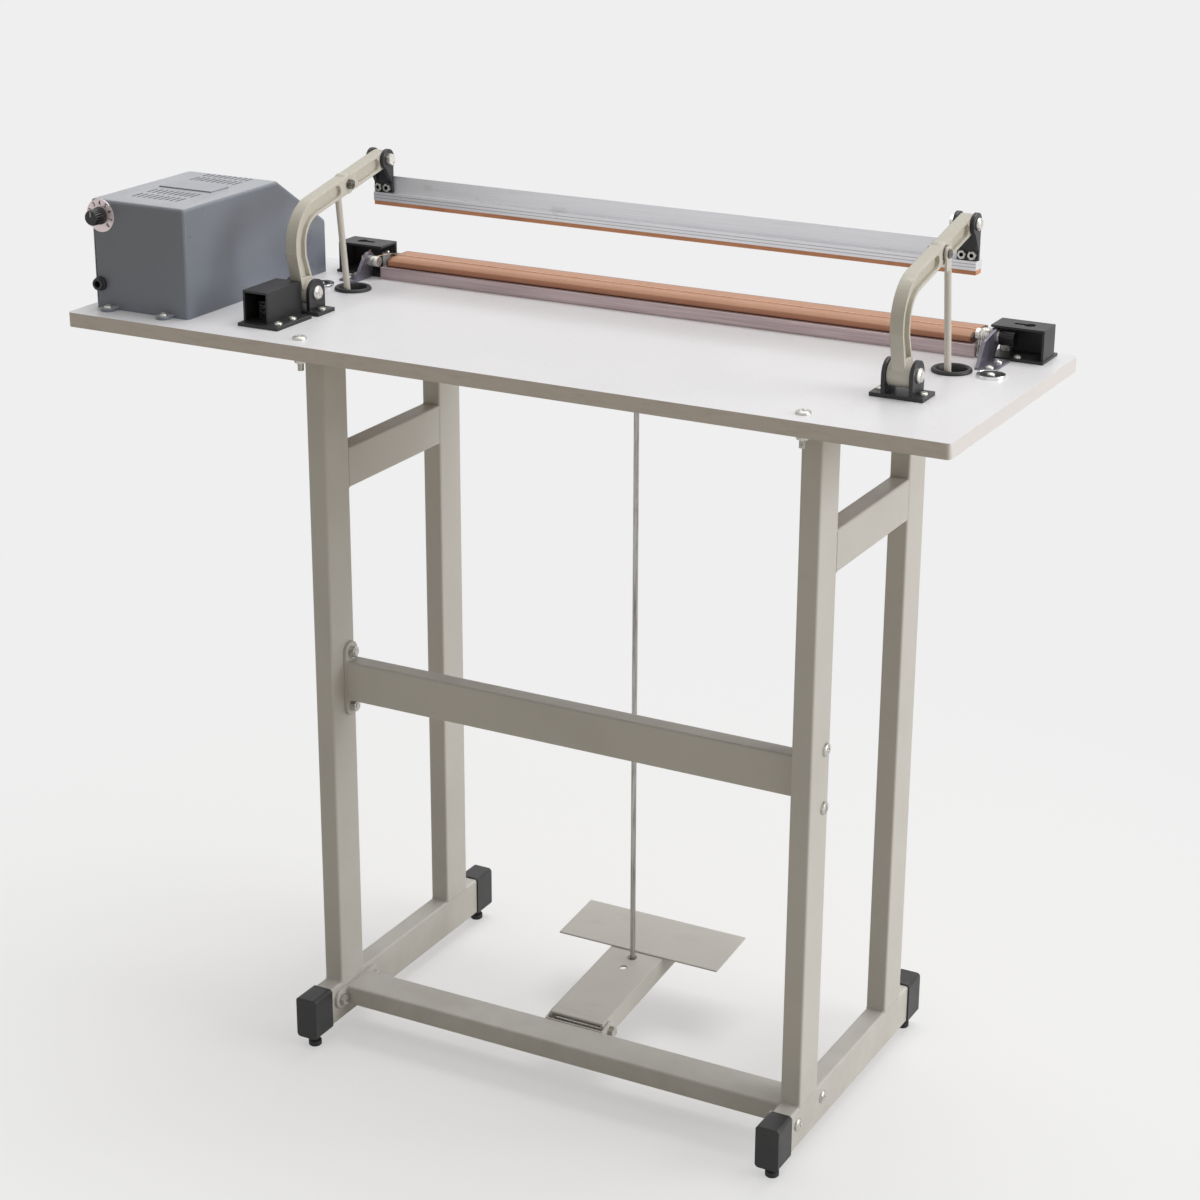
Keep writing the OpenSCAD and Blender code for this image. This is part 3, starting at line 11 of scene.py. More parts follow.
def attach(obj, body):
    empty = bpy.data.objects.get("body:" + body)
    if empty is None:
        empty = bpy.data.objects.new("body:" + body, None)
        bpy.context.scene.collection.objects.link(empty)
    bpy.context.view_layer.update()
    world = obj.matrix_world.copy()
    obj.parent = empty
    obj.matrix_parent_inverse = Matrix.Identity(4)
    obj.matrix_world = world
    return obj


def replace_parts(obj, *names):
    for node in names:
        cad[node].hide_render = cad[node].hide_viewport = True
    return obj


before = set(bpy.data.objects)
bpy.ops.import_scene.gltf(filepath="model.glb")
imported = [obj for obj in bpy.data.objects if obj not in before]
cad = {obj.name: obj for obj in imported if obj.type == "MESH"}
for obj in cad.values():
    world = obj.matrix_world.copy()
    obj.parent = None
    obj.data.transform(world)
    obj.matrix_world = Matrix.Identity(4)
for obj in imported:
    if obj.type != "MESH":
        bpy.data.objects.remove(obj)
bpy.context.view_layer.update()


# Stand tubes. Two welded side frames of 19 x 38 mm steel tube, tied by a stretcher and
# a lower rail with oval end plates. All of it has one warm grey powder coat, slightly
# orange-peeled, rubbed thin along the edges and dusty low down.
MM = 0.001


def rgb(r, g, b):
    """Screen colour, 0 to 255, as the linear colour a shader takes."""
    return tuple((c / 255 / 12.92) if c <= 10 else ((c / 255 + 0.055) / 1.055) ** 2.4
                 for c in (r, g, b))


class Finish:
    """A material under construction: a Principled shader and the layers fed into it."""

    def __init__(self, name, colour, rough, metal=0.0):
        self.made = bpy.data.materials.new(name)
        self.made.use_nodes = True
        self.nodes = self.made.node_tree.nodes
        self.links = self.made.node_tree.links
        self.shader = self.nodes["Principled BSDF"]
        self.shader.inputs["Base Color"].default_value = (*colour, 1)
        self.shader.inputs["Roughness"].default_value = rough
        self.shader.inputs["Metallic"].default_value = metal
        self.place = self.nodes.new("ShaderNodeTexCoord").outputs["Object"]
        self.colour = None
        self.flat_colour = (*colour, 1)
        self.bump = None

    def stretched(self, x, y, z):
        """Object coordinates scaled by axis, for brushed or drawn surfaces."""
        scale = self.nodes.new("ShaderNodeMapping")
        scale.inputs["Scale"].default_value = (x, y, z)
        self.links.new(self.place, scale.inputs["Vector"])
        return scale.outputs["Vector"]

    def cloud(self, scale, detail=3.0, rough=0.55, where=None):
        """Noise value from 0 to 1."""
        made = self.nodes.new("ShaderNodeTexNoise")
        made.inputs["Scale"].default_value = scale
        made.inputs["Detail"].default_value = detail
        made.inputs["Roughness"].default_value = rough
        self.links.new(where or self.place, made.inputs["Vector"])
        return made.outputs[0]

    def between(self, value, low, high, out_low=0.0, out_high=1.0):
        """Value remapped from low..high, clamped."""
        made = self.nodes.new("ShaderNodeMapRange")
        made.inputs["From Min"].default_value = low
        made.inputs["From Max"].default_value = high
        made.inputs["To Min"].default_value = out_low
        made.inputs["To Max"].default_value = out_high
        self.links.new(value, made.inputs["Value"])
        return made.outputs["Result"]

    def sums(self, kind, a, b):
        """Result of a Math node of that kind on two numbers or sockets."""
        made = self.nodes.new("ShaderNodeMath")
        made.operation = kind
        for socket, value in zip(made.inputs, (a, b)):
            if isinstance(value, (int, float)):
                socket.default_value = value
            else:
                self.links.new(value, socket)
        return made.outputs["Value"]

    def tint(self, mask, colour):
        """Lays another colour over the surface where the mask is 1."""
        made = self.nodes.new("ShaderNodeMix")
        made.data_type = "RGBA"
        if self.colour is None:
            made.inputs[6].default_value = self.flat_colour
        else:
            self.links.new(self.colour, made.inputs[6])
        made.inputs[7].default_value = (*colour, 1)
        self.links.new(mask, made.inputs[0])
        self.colour = made.outputs[2]
        self.links.new(self.colour, self.shader.inputs["Base Color"])
        return self

    def roughen(self, mask, low, high):
        """Roughness from low to high as the mask goes from 0 to 1."""
        self.links.new(self.between(mask, 0, 1, low, high), self.shader.inputs["Roughness"])
        return self

    def raise_by(self, height, depth_mm, strength=1.0):
        """Adds a bump of that depth."""
        made = self.nodes.new("ShaderNodeBump")
        made.inputs["Strength"].default_value = strength
        made.inputs["Distance"].default_value = depth_mm * MM
        self.links.new(height, made.inputs["Height"])
        if self.bump is not None:
            self.links.new(self.bump, made.inputs["Normal"])
        self.bump = made.outputs["Normal"]
        self.links.new(self.bump, self.shader.inputs["Normal"])
        return self

    def edges(self, width_mm):
        """1 along convex and concave edges, 0 on open faces."""
        rounded = self.nodes.new("ShaderNodeBevel")
        rounded.samples = 4
        rounded.inputs["Radius"].default_value = width_mm * MM
        true = self.nodes.new("ShaderNodeNewGeometry")
        made = self.nodes.new("ShaderNodeVectorMath")
        made.operation = "DOT_PRODUCT"
        self.links.new(rounded.outputs["Normal"], made.inputs[0])
        self.links.new(true.outputs["True Normal"], made.inputs[1])
        return self.between(made.outputs["Value"], 0.99, 0.8)

    def rounded(self, width_mm):
        """Shades the edges as rolled over by that much, under all later bumps."""
        made = self.nodes.new("ShaderNodeBevel")
        made.samples = 6
        made.inputs["Radius"].default_value = width_mm * MM
        self.bump = made.outputs["Normal"]
        self.links.new(self.bump, self.shader.inputs["Normal"])
        return self

    def coordinate(self, axis):
        """Place on the object along X, Y or Z, in metres."""
        parts = self.nodes.new("ShaderNodeSeparateXYZ")
        self.links.new(self.place, parts.inputs["Vector"])
        return parts.outputs[axis]

    def facing(self, axis, low, high):
        """How far the surface faces +X, +Y or +Z at rest, remapped from low..high."""
        face = self.nodes.new("ShaderNodeNewGeometry")
        parts = self.nodes.new("ShaderNodeSeparateXYZ")
        self.links.new(face.outputs["True Normal"], parts.inputs["Vector"])
        return self.between(parts.outputs[axis], low, high)


def coat(name, colour, rough=0.42, edge=None, dusty=0.0, rolled=0.0, top=None):
    """Powder coat or enamel over metal; rolled edges and a top painted paler as lit, if given."""
    made = Finish(name, colour, rough)
    if rolled:
        made.rounded(rolled)
    if top:
        # painted light: faces turned up take the top colour, paler as lit from above
        made.tint(made.facing(2, 0.75, 0.95), top)
    darker = tuple(c * 0.9 for c in colour)
    lighter = tuple(min(1, c * 1.12 + 0.01) for c in colour)
    made.tint(made.between(made.cloud(9), 0.4, 0.7, 0, 0.35 if top else 0.6), darker)
    made.tint(made.between(made.cloud(160, 2), 0.62, 0.78, 0, 0.3), darker)
    # past 2 mm of roll the edges always take part of the edge colour, a painted highlight
    least_edge_highlight = 0.55 if rolled > 2 else 0
    patchy = made.between(made.cloud(60), 0.35, 0.6, least_edge_highlight, 0.85)
    wear_and_highlight = made.sums("MULTIPLY", made.edges(max(0.5, rolled * 0.7)), patchy)
    made.tint(wear_and_highlight, edge or lighter)
    if dusty:
        low = made.between(made.coordinate("Z"), 0.0, 0.12, dusty, 0)
        made.tint(made.sums("MULTIPLY", low, made.between(made.cloud(35), 0.35, 0.7)),
                  rgb(150, 142, 130))
    made.roughen(made.between(made.cloud(24), 0.3, 0.7), rough - 0.06, rough + 0.1)
    made.raise_by(made.cloud(420, 2), 0.05, 0.35)
    made.raise_by(made.cloud(40, 1), 0.12, 0.25)
    return made.made


def dress(material, *names):
    """Gives CAD nodes a finish in all their material slots."""
    for name in names:
        node = cad[name]
        if not node.material_slots:
            node.data.materials.append(material)
        for held in node.material_slots:
            held.material = material


def soften(width_mm, *names, punched=False):
    """Breaks the sharp edges of CAD nodes, as a press brake, a mould or a file does.

    Flat faces with holes in them are made whole first, so that the edges roll evenly.
    """
    for name in names:
        node = cad[name]
        weld = node.modifiers.new("weld", "WELD")
        weld.merge_threshold = 0.002 * MM
        if punched:
            whole = node.modifiers.new("whole_faces", "DECIMATE")
            whole.decimate_type = "DISSOLVE"
            whole.angle_limit = math.radians(0.5)
        round_over = node.modifiers.new("round_over", "BEVEL")
        round_over.width = width_mm * MM
        round_over.segments = 2
        round_over.limit_method = "ANGLE"
        round_over.angle_limit = math.radians(38)
        round_over.miter_outer = "MITER_ARC"


stand_paint = coat("stand_paint", rgb(203, 201, 196), dusty=0.25, rolled=1.6)
stand_nodes = ("leg_left_near", "leg_left_far", "leg_right_near", "leg_right_far",
               "base_tubes", "side_rails", "top_bars", "cross_tubes", "end_plates",
               "pedal_bracket")
dress(stand_paint, *stand_nodes)
soften(0.4, "top_bars", "end_plates", "pedal_bracket", punched=True)


# Weld beads. The side frames and the cross tubes' end plates are joined by a small
# rippled bead all round each tube, coated with the same powder.
BEAD_R = 1.3
BEAD_DEPTH = 0.35
BEAD_RIPPLE = 2.2
TUBE_CORNER = 2.0
FRAME_X = (-0.1875, 0.2925)
LEG_Y = 0.0975
LEG_FOOT, LEG_TOP = 0.0523, 0.6738
SIDE_RAIL_END, SIDE_RAIL_H = 0.0785, 0.5585
CROSS_TUBE_ENDS = (-0.175, 0.280)
STRETCHER_Y, STRETCHER_H = -0.088, 0.3572
LOW_RAIL_Y, LOW_RAIL_H = -0.094, 0.038
X, Y, Z = Vector((1, 0, 0)), Vector((0, 1, 0)), Vector((0, 0, 1))


def keep(name, bm, material, body, smooth=40):
    """Makes an object of a mesh under construction, and lets it ride on a body."""
    mesh = bpy.data.meshes.new(name)
    bmesh.ops.recalc_face_normals(bm, faces=bm.faces)
    bm.to_mesh(mesh)
    bm.free()
    mesh.materials.append(material)
    mesh.shade_smooth()
    mesh.set_sharp_from_angle(angle=math.radians(smooth))
    piece = bpy.data.objects.new(name, mesh)
    bpy.context.scene.collection.objects.link(piece)
    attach(piece, body)
    return piece


def skin(bm, rows, ends=True):
    """Joins closed rows of points with faces, and closes both ends if asked."""
    sides = len(rows[0])
    for a, b in zip(rows, rows[1:]):
        for k in range(sides):
            n = (k + 1) % sides
            bm.faces.new((a[k], a[n], b[n], b[k]))
    if ends:
        bm.faces.new(list(reversed(rows[0])))
        bm.faces.new(rows[-1])


def around(count):
    """Equally spaced angles of a full turn."""
    return [2 * math.pi * k / count for k in range(count)]


def hose(bm, points, radius_at, sides=8, closed=False):
    """Skins a round section along points; radius_at gives the radius at a distance."""
    points = [Vector(p) for p in points]
    count = len(points)
    rings = []
    gone = 0.0
    normal = None
    for i, point in enumerate(points):
        after = points[(i + 1) % count] if closed or i + 1 < count else point
        before = points[i - 1] if closed or i > 0 else point
        along = (after - before).normalized()
        if normal is None:
            normal = along.orthogonal().normalized()
        normal = (normal - along * normal.dot(along)).normalized()
        side = along.cross(normal)
        r = radius_at(gone)
        rings.append([bm.verts.new(point + (normal * math.cos(a) + side * math.sin(a)) * r)
                      for a in around(sides)])
        if i + 1 < count:
            gone += (points[i + 1] - point).length
    skin(bm, rings + rings[:1] if closed else rings, ends=not closed)


def seam_loop(centre, across, up, w, d, step=0.8):
    """Points round a rectangle of w by d millimetres with rounded corners."""
    centre, r = Vector(centre), TUBE_CORNER
    corners = [(w / 2 - r, d / 2 - r, 0), (r - w / 2, d / 2 - r, 90),
               (r - w / 2, r - d / 2, 180), (w / 2 - r, r - d / 2, 270)]
    path = []
    for cx, cy, start in corners:
        for k in range(4):
            a = math.radians(start + 30 * k)
            path.append((cx + r * math.cos(a), cy + r * math.sin(a)))
    dense = []
    for i, a in enumerate(path):
        b = path[(i + 1) % len(path)]
        parts = max(1, int(math.dist(a, b) / step))
        dense += [(a[0] + (b[0] - a[0]) * k / parts, a[1] + (b[1] - a[1]) * k / parts)
                  for k in range(parts)]
    return [centre + (across * p + up * q) * MM for p, q in dense]


def ripple(distance):
    """Radius of the bead at a distance along it."""
    wave = 0.5 + 0.5 * math.sin(2 * math.pi * distance / (BEAD_RIPPLE * MM))
    return (BEAD_R - BEAD_DEPTH * wave) * MM


seams = []
for x in FRAME_X:
    for y in (-LEG_Y, LEG_Y):
        seams.append(seam_loop((x, y, LEG_FOOT), X, Y, 17.6, 38))
        seams.append(seam_loop((x, y, LEG_TOP), X, Y, 18, 38))
    for y in (-SIDE_RAIL_END, SIDE_RAIL_END):
        seams.append(seam_loop((x, y, SIDE_RAIL_H), X, Z, 17.6, 38))
for x in CROSS_TUBE_ENDS:
    seams.append(seam_loop((x, STRETCHER_Y, STRETCHER_H), Y, Z, 17, 38))
    seams.append(seam_loop((x, LOW_RAIL_Y, LOW_RAIL_H), Y, Z, 38, 17))
beads = bmesh.new()
for seam in seams:
    hose(beads, seam, ripple, 6, True)
keep("weld_beads", beads, stand_paint, "stand")


# Stand bolts. Zinc plated cross-head pan bolts M6 go through each leg and base tube and
# are held by plain hexagon nuts on the end plates.
def zinc_plate(name, shade=200):
    """Zinc plating of a given brightness, 0 to 255, with dull and brownish spots."""
    made = Finish(name, rgb(shade, shade - 2, shade - 8), 0.34, 0.9)
    made.tint(made.between(made.cloud(300, 2), 0.5, 0.75), rgb(150, 148, 140))
    made.tint(made.between(made.cloud(90), 0.6, 0.8), rgb(125, 118, 104))
    made.roughen(made.cloud(220), 0.24, 0.5)
    made.raise_by(made.cloud(900, 2), 0.02, 0.3)
    return made.made


def driven_head(bm, matrix, r, t, recess="cross", sides=48, rings=14):
    """Domed head with a cross or a slot, standing on local Z = 0, in millimetres."""
    rim = 0.42 * t

    def top(x, y):
        """Height of the head's face at a place on it."""
        d = math.hypot(x, y) / r
        dome = rim + 0.58 * t * math.sqrt(max(0.0, 1 - d ** 2.6))
        if recess == "slot":
            return dome - (0.4 * t if abs(y) < 0.12 * r else 0.0)
        arm, wide = 0.56 * r, 0.115 * r
        inside = (abs(x) < wide and abs(y) < arm) or (abs(y) < wide and abs(x) < arm)
        deep = 0.62 * t * (1 - 0.75 * d / 0.56) if inside or d < 0.2 else 0.0
        return dome - max(0.0, deep)

    grid = []
    for i in range(1, rings + 1):
        d = r * i / rings
        ring = [(d * math.cos(a), d * math.sin(a)) for a in around(sides)]
        grid.append([bm.verts.new(matrix @ (Vector((x, y, top(x, y) if i < rings else rim)) * MM))
                     for x, y in ring])
    middle = bm.verts.new(matrix @ (Vector((0, 0, top(0, 0))) * MM))
    foot = [bm.verts.new(matrix @ (Vector((r * math.cos(a), r * math.sin(a), 0)) * MM))
            for a in around(sides)]
    for k in range(sides):
        n = (k + 1) % sides
        bm.faces.new((middle, grid[0][k], grid[0][n]))
        for a, b in zip(grid, grid[1:]):
            bm.faces.new((a[k], b[k], b[n], a[n]))
        bm.faces.new((grid[-1][k], foot[k], foot[n], grid[-1][n]))
    bm.faces.new(list(reversed(foot)))


def chamfered_nut(bm, matrix, r, t, sides=48):
    """Hexagon nut with both corners broken, r to its corners, on local Z = 0."""
    flat = r * math.cos(math.pi / 6)
    rows = []
    for z, on_face in ((0, True), (0, False), (t, False), (t, True)):
        row = []
        for a in around(sides):
            off = (a + math.pi / 6) % (math.pi / 3) - math.pi / 6
            rim = flat / math.cos(off)
            drop = max(0.0, rim - flat) * 0.6
            d = flat * 0.97 if on_face else rim
            h = z if on_face else (drop if z == 0 else t - drop)
            row.append(bm.verts.new(matrix @ (Vector((d * math.cos(a), d * math.sin(a), h)) * MM)))
        rows.append(row)
    skin(bm, rows)


def thread(bm, matrix, r, low, high, pitch=1.0, sides=20):
    """Threaded rod from low to high along local Z: crests and roots follow a helix."""
    steps = max(2, int((high - low) / (pitch / 4)))
    rows = []
    for i in range(steps + 1):
        z = low + (high - low) * i / steps
        row = []
        for k in range(sides):
            turn = (z / pitch - k / sides) % 1.0
            d = r - 0.16 * pitch * (1 - abs(2 * turn - 1)) * 2
            a = 2 * math.pi * k / sides
            row.append(bm.verts.new(matrix @ (Vector((d * math.cos(a), d * math.sin(a), z)) * MM)))
        rows.append(row)
    skin(bm, rows)


def pointing(at, way, turn=0.0):
    """Matrix that puts local Z along a direction at a point in metres."""
    aimed = Vector(way).to_track_quat("Z", "Y").to_matrix().to_4x4()
    return Matrix.Translation(Vector(at)) @ aimed @ Matrix.Rotation(math.radians(turn), 4, "Z")


zinc = zinc_plate("zinc_plate")
STAND_X = 0.0525
TUBE_OUTSIDE, PLATE_INSIDE = 0.2305 + 0.019, 0.2275
PLATE_BOLT = 0.027
BOLT_SPOTS = [(STRETCHER_Y, STRETCHER_H - PLATE_BOLT), (STRETCHER_Y, STRETCHER_H + PLATE_BOLT),
              (LOW_RAIL_Y - PLATE_BOLT, LOW_RAIL_H), (LOW_RAIL_Y + PLATE_BOLT, LOW_RAIL_H)]
M6_HEAD = (6, 3.2)
M6_NUT = (5.5, 5)
M6_THREAD = 2.95
bolts = bmesh.new()
for s in (-1, 1):
    outer = STAND_X + s * TUBE_OUTSIDE
    inner = STAND_X + s * PLATE_INSIDE
    for i, (y, z) in enumerate(BOLT_SPOTS):
        driven_head(bolts, pointing((outer, y, z), (s, 0, 0), 23 + 37 * i), *M6_HEAD)
        chamfered_nut(bolts, pointing((inner, y, z), (-s, 0, 0), 11 * i), *M6_NUT)
        thread(bolts, pointing((inner, y, z), (-s, 0, 0)), M6_THREAD, -20, 5.6)
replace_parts(keep("stand_bolt_set", bolts, zinc, "stand", 32), "stand_bolts")


# Tube caps and glides. Black polythene caps are pushed over the ends of the base tubes,
# each with a turned foot under it that takes up an uneven floor.
GLIDE_Y = 0.1511
GLIDE_PROFILE = [(0, 0), (5.4, 0), (6.25, 0.9), (6.25, 5.2), (5.2, 6.0), (3.4, 6.4),
                 (3.4, 9.4), (5.0, 9.9), (5.0, 12.55), (0, 12.55)]


def moulding(name, shade, rough, scale=700):
    """Black moulded plastic or rubber of a given brightness, paler along its edges."""
    made = Finish(name, rgb(shade, shade, shade + 2), rough)
    paler = rgb(shade + 14, shade + 13, shade + 12)
    rubbed = rgb(shade + 45, shade + 44, shade + 42)
    made.tint(made.between(made.cloud(30), 0.45, 0.7, 0, 0.6), paler)
    made.tint(made.sums("MULTIPLY", made.edges(0.35), made.cloud(80)), rubbed)
    made.roughen(made.cloud(50), rough - 0.08, rough + 0.12)
    made.raise_by(made.cloud(scale, 2), 0.04, 0.4)
    return made.made


def lathe(bm, matrix, profile, sides=32):
    """Turns a profile of (radius, height) in millimetres round local Z."""
    rings = []
    for r, z in profile:
        angles = around(sides) if r > 0 else [0]
        rings.append([bm.verts.new(matrix @ (Vector((r * math.cos(a), r * math.sin(a), z)) * MM))
                      for a in angles])
    for low, high in zip(rings, rings[1:]):
        for k in range(sides):
            n = (k + 1) % sides
            if len(low) == 1:
                bm.faces.new((low[0], high[k], high[n]))
            elif len(high) == 1:
                bm.faces.new((low[k], low[n], high[0]))
            else:
                bm.faces.new((low[k], low[n], high[n], high[k]))


black_plastic = moulding("black_plastic", 34, 0.42)
dress(black_plastic, "tube_caps")
soften(0.8, "tube_caps")
glide_rubber = moulding("glide_rubber", 28, 0.6, 400)
glides = bmesh.new()
for x in FRAME_X:
    for y in (-GLIDE_Y, GLIDE_Y):
        lathe(glides, Matrix.Translation((x, y, 0)), GLIDE_PROFILE)
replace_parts(keep("glide_set", glides, glide_rubber, "stand"), "foot_glides")


# Table. Chipboard faced with white laminate; the sawn edge has a grey plastic band.
# Domed bolts hold it down on the two flat bars.
TABLE_TOP = 0.690
TABLE_BOLTS_Y = (-0.136, 0.126)
laminate = Finish("laminate_board", rgb(233, 233, 236), 0.36)
laminate.tint(laminate.between(laminate.cloud(5), 0.4, 0.7, 0, 0.5), rgb(226, 227, 231))
laminate.tint(laminate.between(laminate.cloud(260, 2), 0.66, 0.74, 0, 0.35), rgb(205, 204, 204))
edge_band = laminate.between(laminate.facing(2, 0.3, 0.7), 0, 1, 1, 0)
laminate.tint(edge_band, rgb(208, 200, 194))
laminate.tint(laminate.sums("MULTIPLY", edge_band, laminate.between(
    laminate.cloud(60, 3, 0.6, laminate.stretched(1, 1, 6)), 0.45, 0.7, 0, 0.5)),
    rgb(190, 181, 173))
# painted light: faces turned to +X are paler, as lit from the right
laminate.tint(laminate.facing(0, 0.5, 0.8), rgb(226, 222, 223))
underside = laminate.between(laminate.facing(2, -0.7, -0.3), 0, 1, 1, 0)
laminate.tint(underside, rgb(166, 143, 112))
laminate.tint(laminate.sums("MULTIPLY", underside, laminate.between(
    laminate.cloud(380, 2), 0.5, 0.62)), rgb(128, 104, 76))
laminate.roughen(laminate.cloud(14), 0.3, 0.44)
laminate.raise_by(laminate.cloud(900, 1), 0.02, 0.25)
dress(laminate.made, "table_top_board")
soften(0.5, "table_top_board")

bolts = bmesh.new()
for i, x in enumerate(FRAME_X):
    for j, y in enumerate(TABLE_BOLTS_Y):
        driven_head(bolts, pointing((x, y, TABLE_TOP), Z, 20 + 31 * (i + 2 * j)), 6.5, 3.2)
        chamfered_nut(bolts, pointing((x, y, LEG_TOP), -Z, 17 * i), *M6_NUT)
        thread(bolts, pointing((x, y, LEG_TOP), -Z), M6_THREAD, -16, 12)
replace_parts(keep("table_bolt_set", bolts, zinc, "stand", 32), "table_bolts")


# Grommets and cap discs. Black moulded rings line the two holes the pull rods pass
# through; beside each, a disc with a chromed rim is held by a slotted screw.
dress(black_plastic, "rod_grommets")
soften(0.5, "rod_grommets")
disc_black = moulding("disc_plastic", 18, 0.3)
chrome = Finish("chrome_rim", rgb(225, 226, 228), 0.12, 1.0)
chrome.roughen(chrome.cloud(120), 0.16, 0.32)
chrome.raise_by(chrome.cloud(500, 1), 0.01, 0.3)
bright_zinc = zinc_plate("bright_zinc", 232)
DISC_Y = 0.0415
DISC_FLOOR = 1.2
DISC_PROFILE = [(0, 0), (11.8, 0), (11.8, 1.9), (11.2, 2.3), (9, 2.4), (6.2, 1.9),
                (5.4, DISC_FLOOR), (0, DISC_FLOOR)]
RIM_PROFILE = [(11.7, 0), (12.5, 0), (12.5, 1.7), (12.4, 2.3), (12.2, 2.6), (12.0, 2.3),
               (11.9, 1.6), (11.7, 0)]
for side, x in (("left", -0.284), ("right", 0.384)):
    seat = Matrix.Translation((x, DISC_Y, TABLE_TOP))
    disc = bmesh.new()
    lathe(disc, seat, DISC_PROFILE, 64)
    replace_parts(keep(f"cap_disc_{side}", disc, disc_black, "stand"),
                "table_discs")
    rim = bmesh.new()
    lathe(rim, seat, RIM_PROFILE, 72)
    keep(f"disc_rim_{side}", rim, chrome.made, "stand", 50)
    screw = bmesh.new()
    on_disc = (x, DISC_Y, TABLE_TOP + DISC_FLOOR * MM)
    driven_head(screw, pointing(on_disc, Z, 62), 3.4, 2.0, "slot")
    keep(f"disc_screw_{side}", screw, bright_zinc, "stand", 32)


# Control box. A folded 1.2 mm steel cover with rolled edges, blue-grey enamel, punched
# with slots on both sides of a pressed-up panel; two lugs at its foot hold it down.
# painted light: a paler top as lit from above, and a painted highlight along the rolled edges
box_paint = coat("box_paint", rgb(126, 131, 141), 0.33, rgb(166, 170, 177), rolled=2.2,
                 top=rgb(178, 181, 187))
COVER_CORNERS = ((-129, 690), (-129, 790), (17, 790), (94, 740), (94, 690))
COVER_ROLL = 3.0
# the folds that are rolled: sharper than this in radians, higher than this in metres
LEAST_FOLD = 0.9
ABOVE_LUGS = 0.7


def at_corner(vertex):
    """Whether a point of the cover lies on a corner of its outline, seen from the side."""
    y, z = vertex.co.y / MM, vertex.co.z / MM
    return min(math.dist((y, z), corner) for corner in COVER_CORNERS) < 0.05


cover = bmesh.new()
cover.from_mesh(cad["box_shell"].data)
bmesh.ops.remove_doubles(cover, verts=cover.verts, dist=0.002 * MM)
bmesh.ops.dissolve_limit(cover, angle_limit=math.radians(0.5), verts=cover.verts,
                         edges=cover.edges)
folds = [e for e in cover.edges
         if len(e.link_faces) == 2 and e.calc_face_angle() > LEAST_FOLD
         and max(v.co.z for v in e.verts) > ABOVE_LUGS and all(at_corner(v) for v in e.verts)]
bmesh.ops.bevel(cover, geom=folds, offset=COVER_ROLL * MM, offset_type="OFFSET", segments=5,
                profile=0.5, affect="EDGES", clamp_overlap=False)
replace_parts(keep("box_cover", cover, box_paint, "stand", 24), "box_shell")


# Inside the box. A transformer with varnished iron and windings stands on the table, and
# the timer's board sits on posts behind the dial; its shaft comes out through the cover.
iron = Finish("transformer_iron", rgb(62, 58, 56), 0.5, 0.4)
iron.raise_by(iron.cloud(30, 2, 0.5, iron.stretched(40, 1, 1)), 0.3, 0.6)
iron.tint(iron.between(iron.cloud(50), 0.5, 0.7), rgb(92, 70, 50))
dress(iron.made, "transformer")
board = Finish("circuit_board", rgb(34, 92, 52), 0.4)
board.tint(board.between(board.cloud(220, 1), 0.56, 0.6), rgb(70, 130, 78))
board.raise_by(board.cloud(500, 1), 0.05, 0.4)
dress(board.made, "timer_board")
pot = Finish("pot_steel", rgb(176, 176, 172), 0.36, 0.9)
pot.raise_by(pot.cloud(200), 0.03, 0.3)
pot.tint(pot.between(pot.cloud(90), 0.5, 0.75), rgb(140, 138, 130))
dress(pot.made, "timer_pot")


# Timer dial. A printed aluminium ring round the timer's shaft, with plain numbers and
# tick marks, and a black fluted knob with a white pointer line.
DIAL = Vector((-0.404, -0.130, 0.7755))
DIAL_START, DIAL_SWEEP = 225, 270
NUMBER_R, NUMBER_H = 11.3, 5.2
NUMBERS, TICKS = 8, 40
KNOB_FOOT_Y, KNOB_FACE_Y = -0.131, -0.144
KNOB_RIBS = 20
# radius, height and depth of the flutes
KNOB_PROFILE = [(0, 0, 0), (7.95, 0, 0), (7.95, 1.3, 0), (7.5, 1.9, 0), (7.6, 2.3, 0.6),
                (7.2, 11.4, 0.6), (6.7, 12.5, 0.3), (6.0, 12.98, 0), (0, 12.98, 0)]
dial_face = Finish("dial_print", rgb(244, 230, 234), 0.4, 0.55)
dial_face.tint(dial_face.between(dial_face.cloud(40), 0.45, 0.7, 0, 0.5), rgb(228, 214, 218))
dial_face.raise_by(dial_face.cloud(200, 2, 0.5, dial_face.stretched(1, 1, 30)), 0.02, 0.4)
dress(dial_face.made, "dial_plate")
soften(0.2, "dial_plate")
ink = Finish("dial_ink", rgb(74, 34, 44), 0.5)
ink.tint(ink.between(ink.cloud(300), 0.5, 0.7, 0, 0.6), rgb(96, 54, 62))
ink.raise_by(ink.cloud(800), 0.01, 0.3)


def flat_text(bm, words, height, matrix):
    """Adds thin letters, centred on local XY, to a mesh under construction."""
    made = bpy.data.curves.new("letters", "FONT")
    made.body = words
    made.size = height * MM
    made.align_x = "CENTER"
    made.align_y = "CENTER"
    made.extrude = 0.05 * MM
    made.offset = 0.03 * height * MM
    made.resolution_u = 3
    shown = bpy.data.objects.new("letters", made)
    bpy.context.scene.collection.objects.link(shown)
    graph = bpy.context.evaluated_depsgraph_get()
    mesh = bpy.data.meshes.new_from_object(shown.evaluated_get(graph))
    mesh.transform(matrix)
    bm.from_mesh(mesh)
    bpy.data.meshes.remove(mesh)
    bpy.data.objects.remove(shown)
    bpy.data.curves.remove(made)


def slab(bm, matrix, x, y, z):
    """Adds a box between two limits on each local axis, in millimetres."""
    corners = [bm.verts.new(matrix @ (Vector((p, q, r)) * MM)) for r in z for q in y for p in x]
    sides = ((0, 2, 3, 1), (4, 5, 7, 6), (0, 1, 5, 4), (2, 6, 7, 3), (0, 4, 6, 2), (1, 3, 7, 5))
    for side in sides:
        bm.faces.new([corners[i] for i in side])


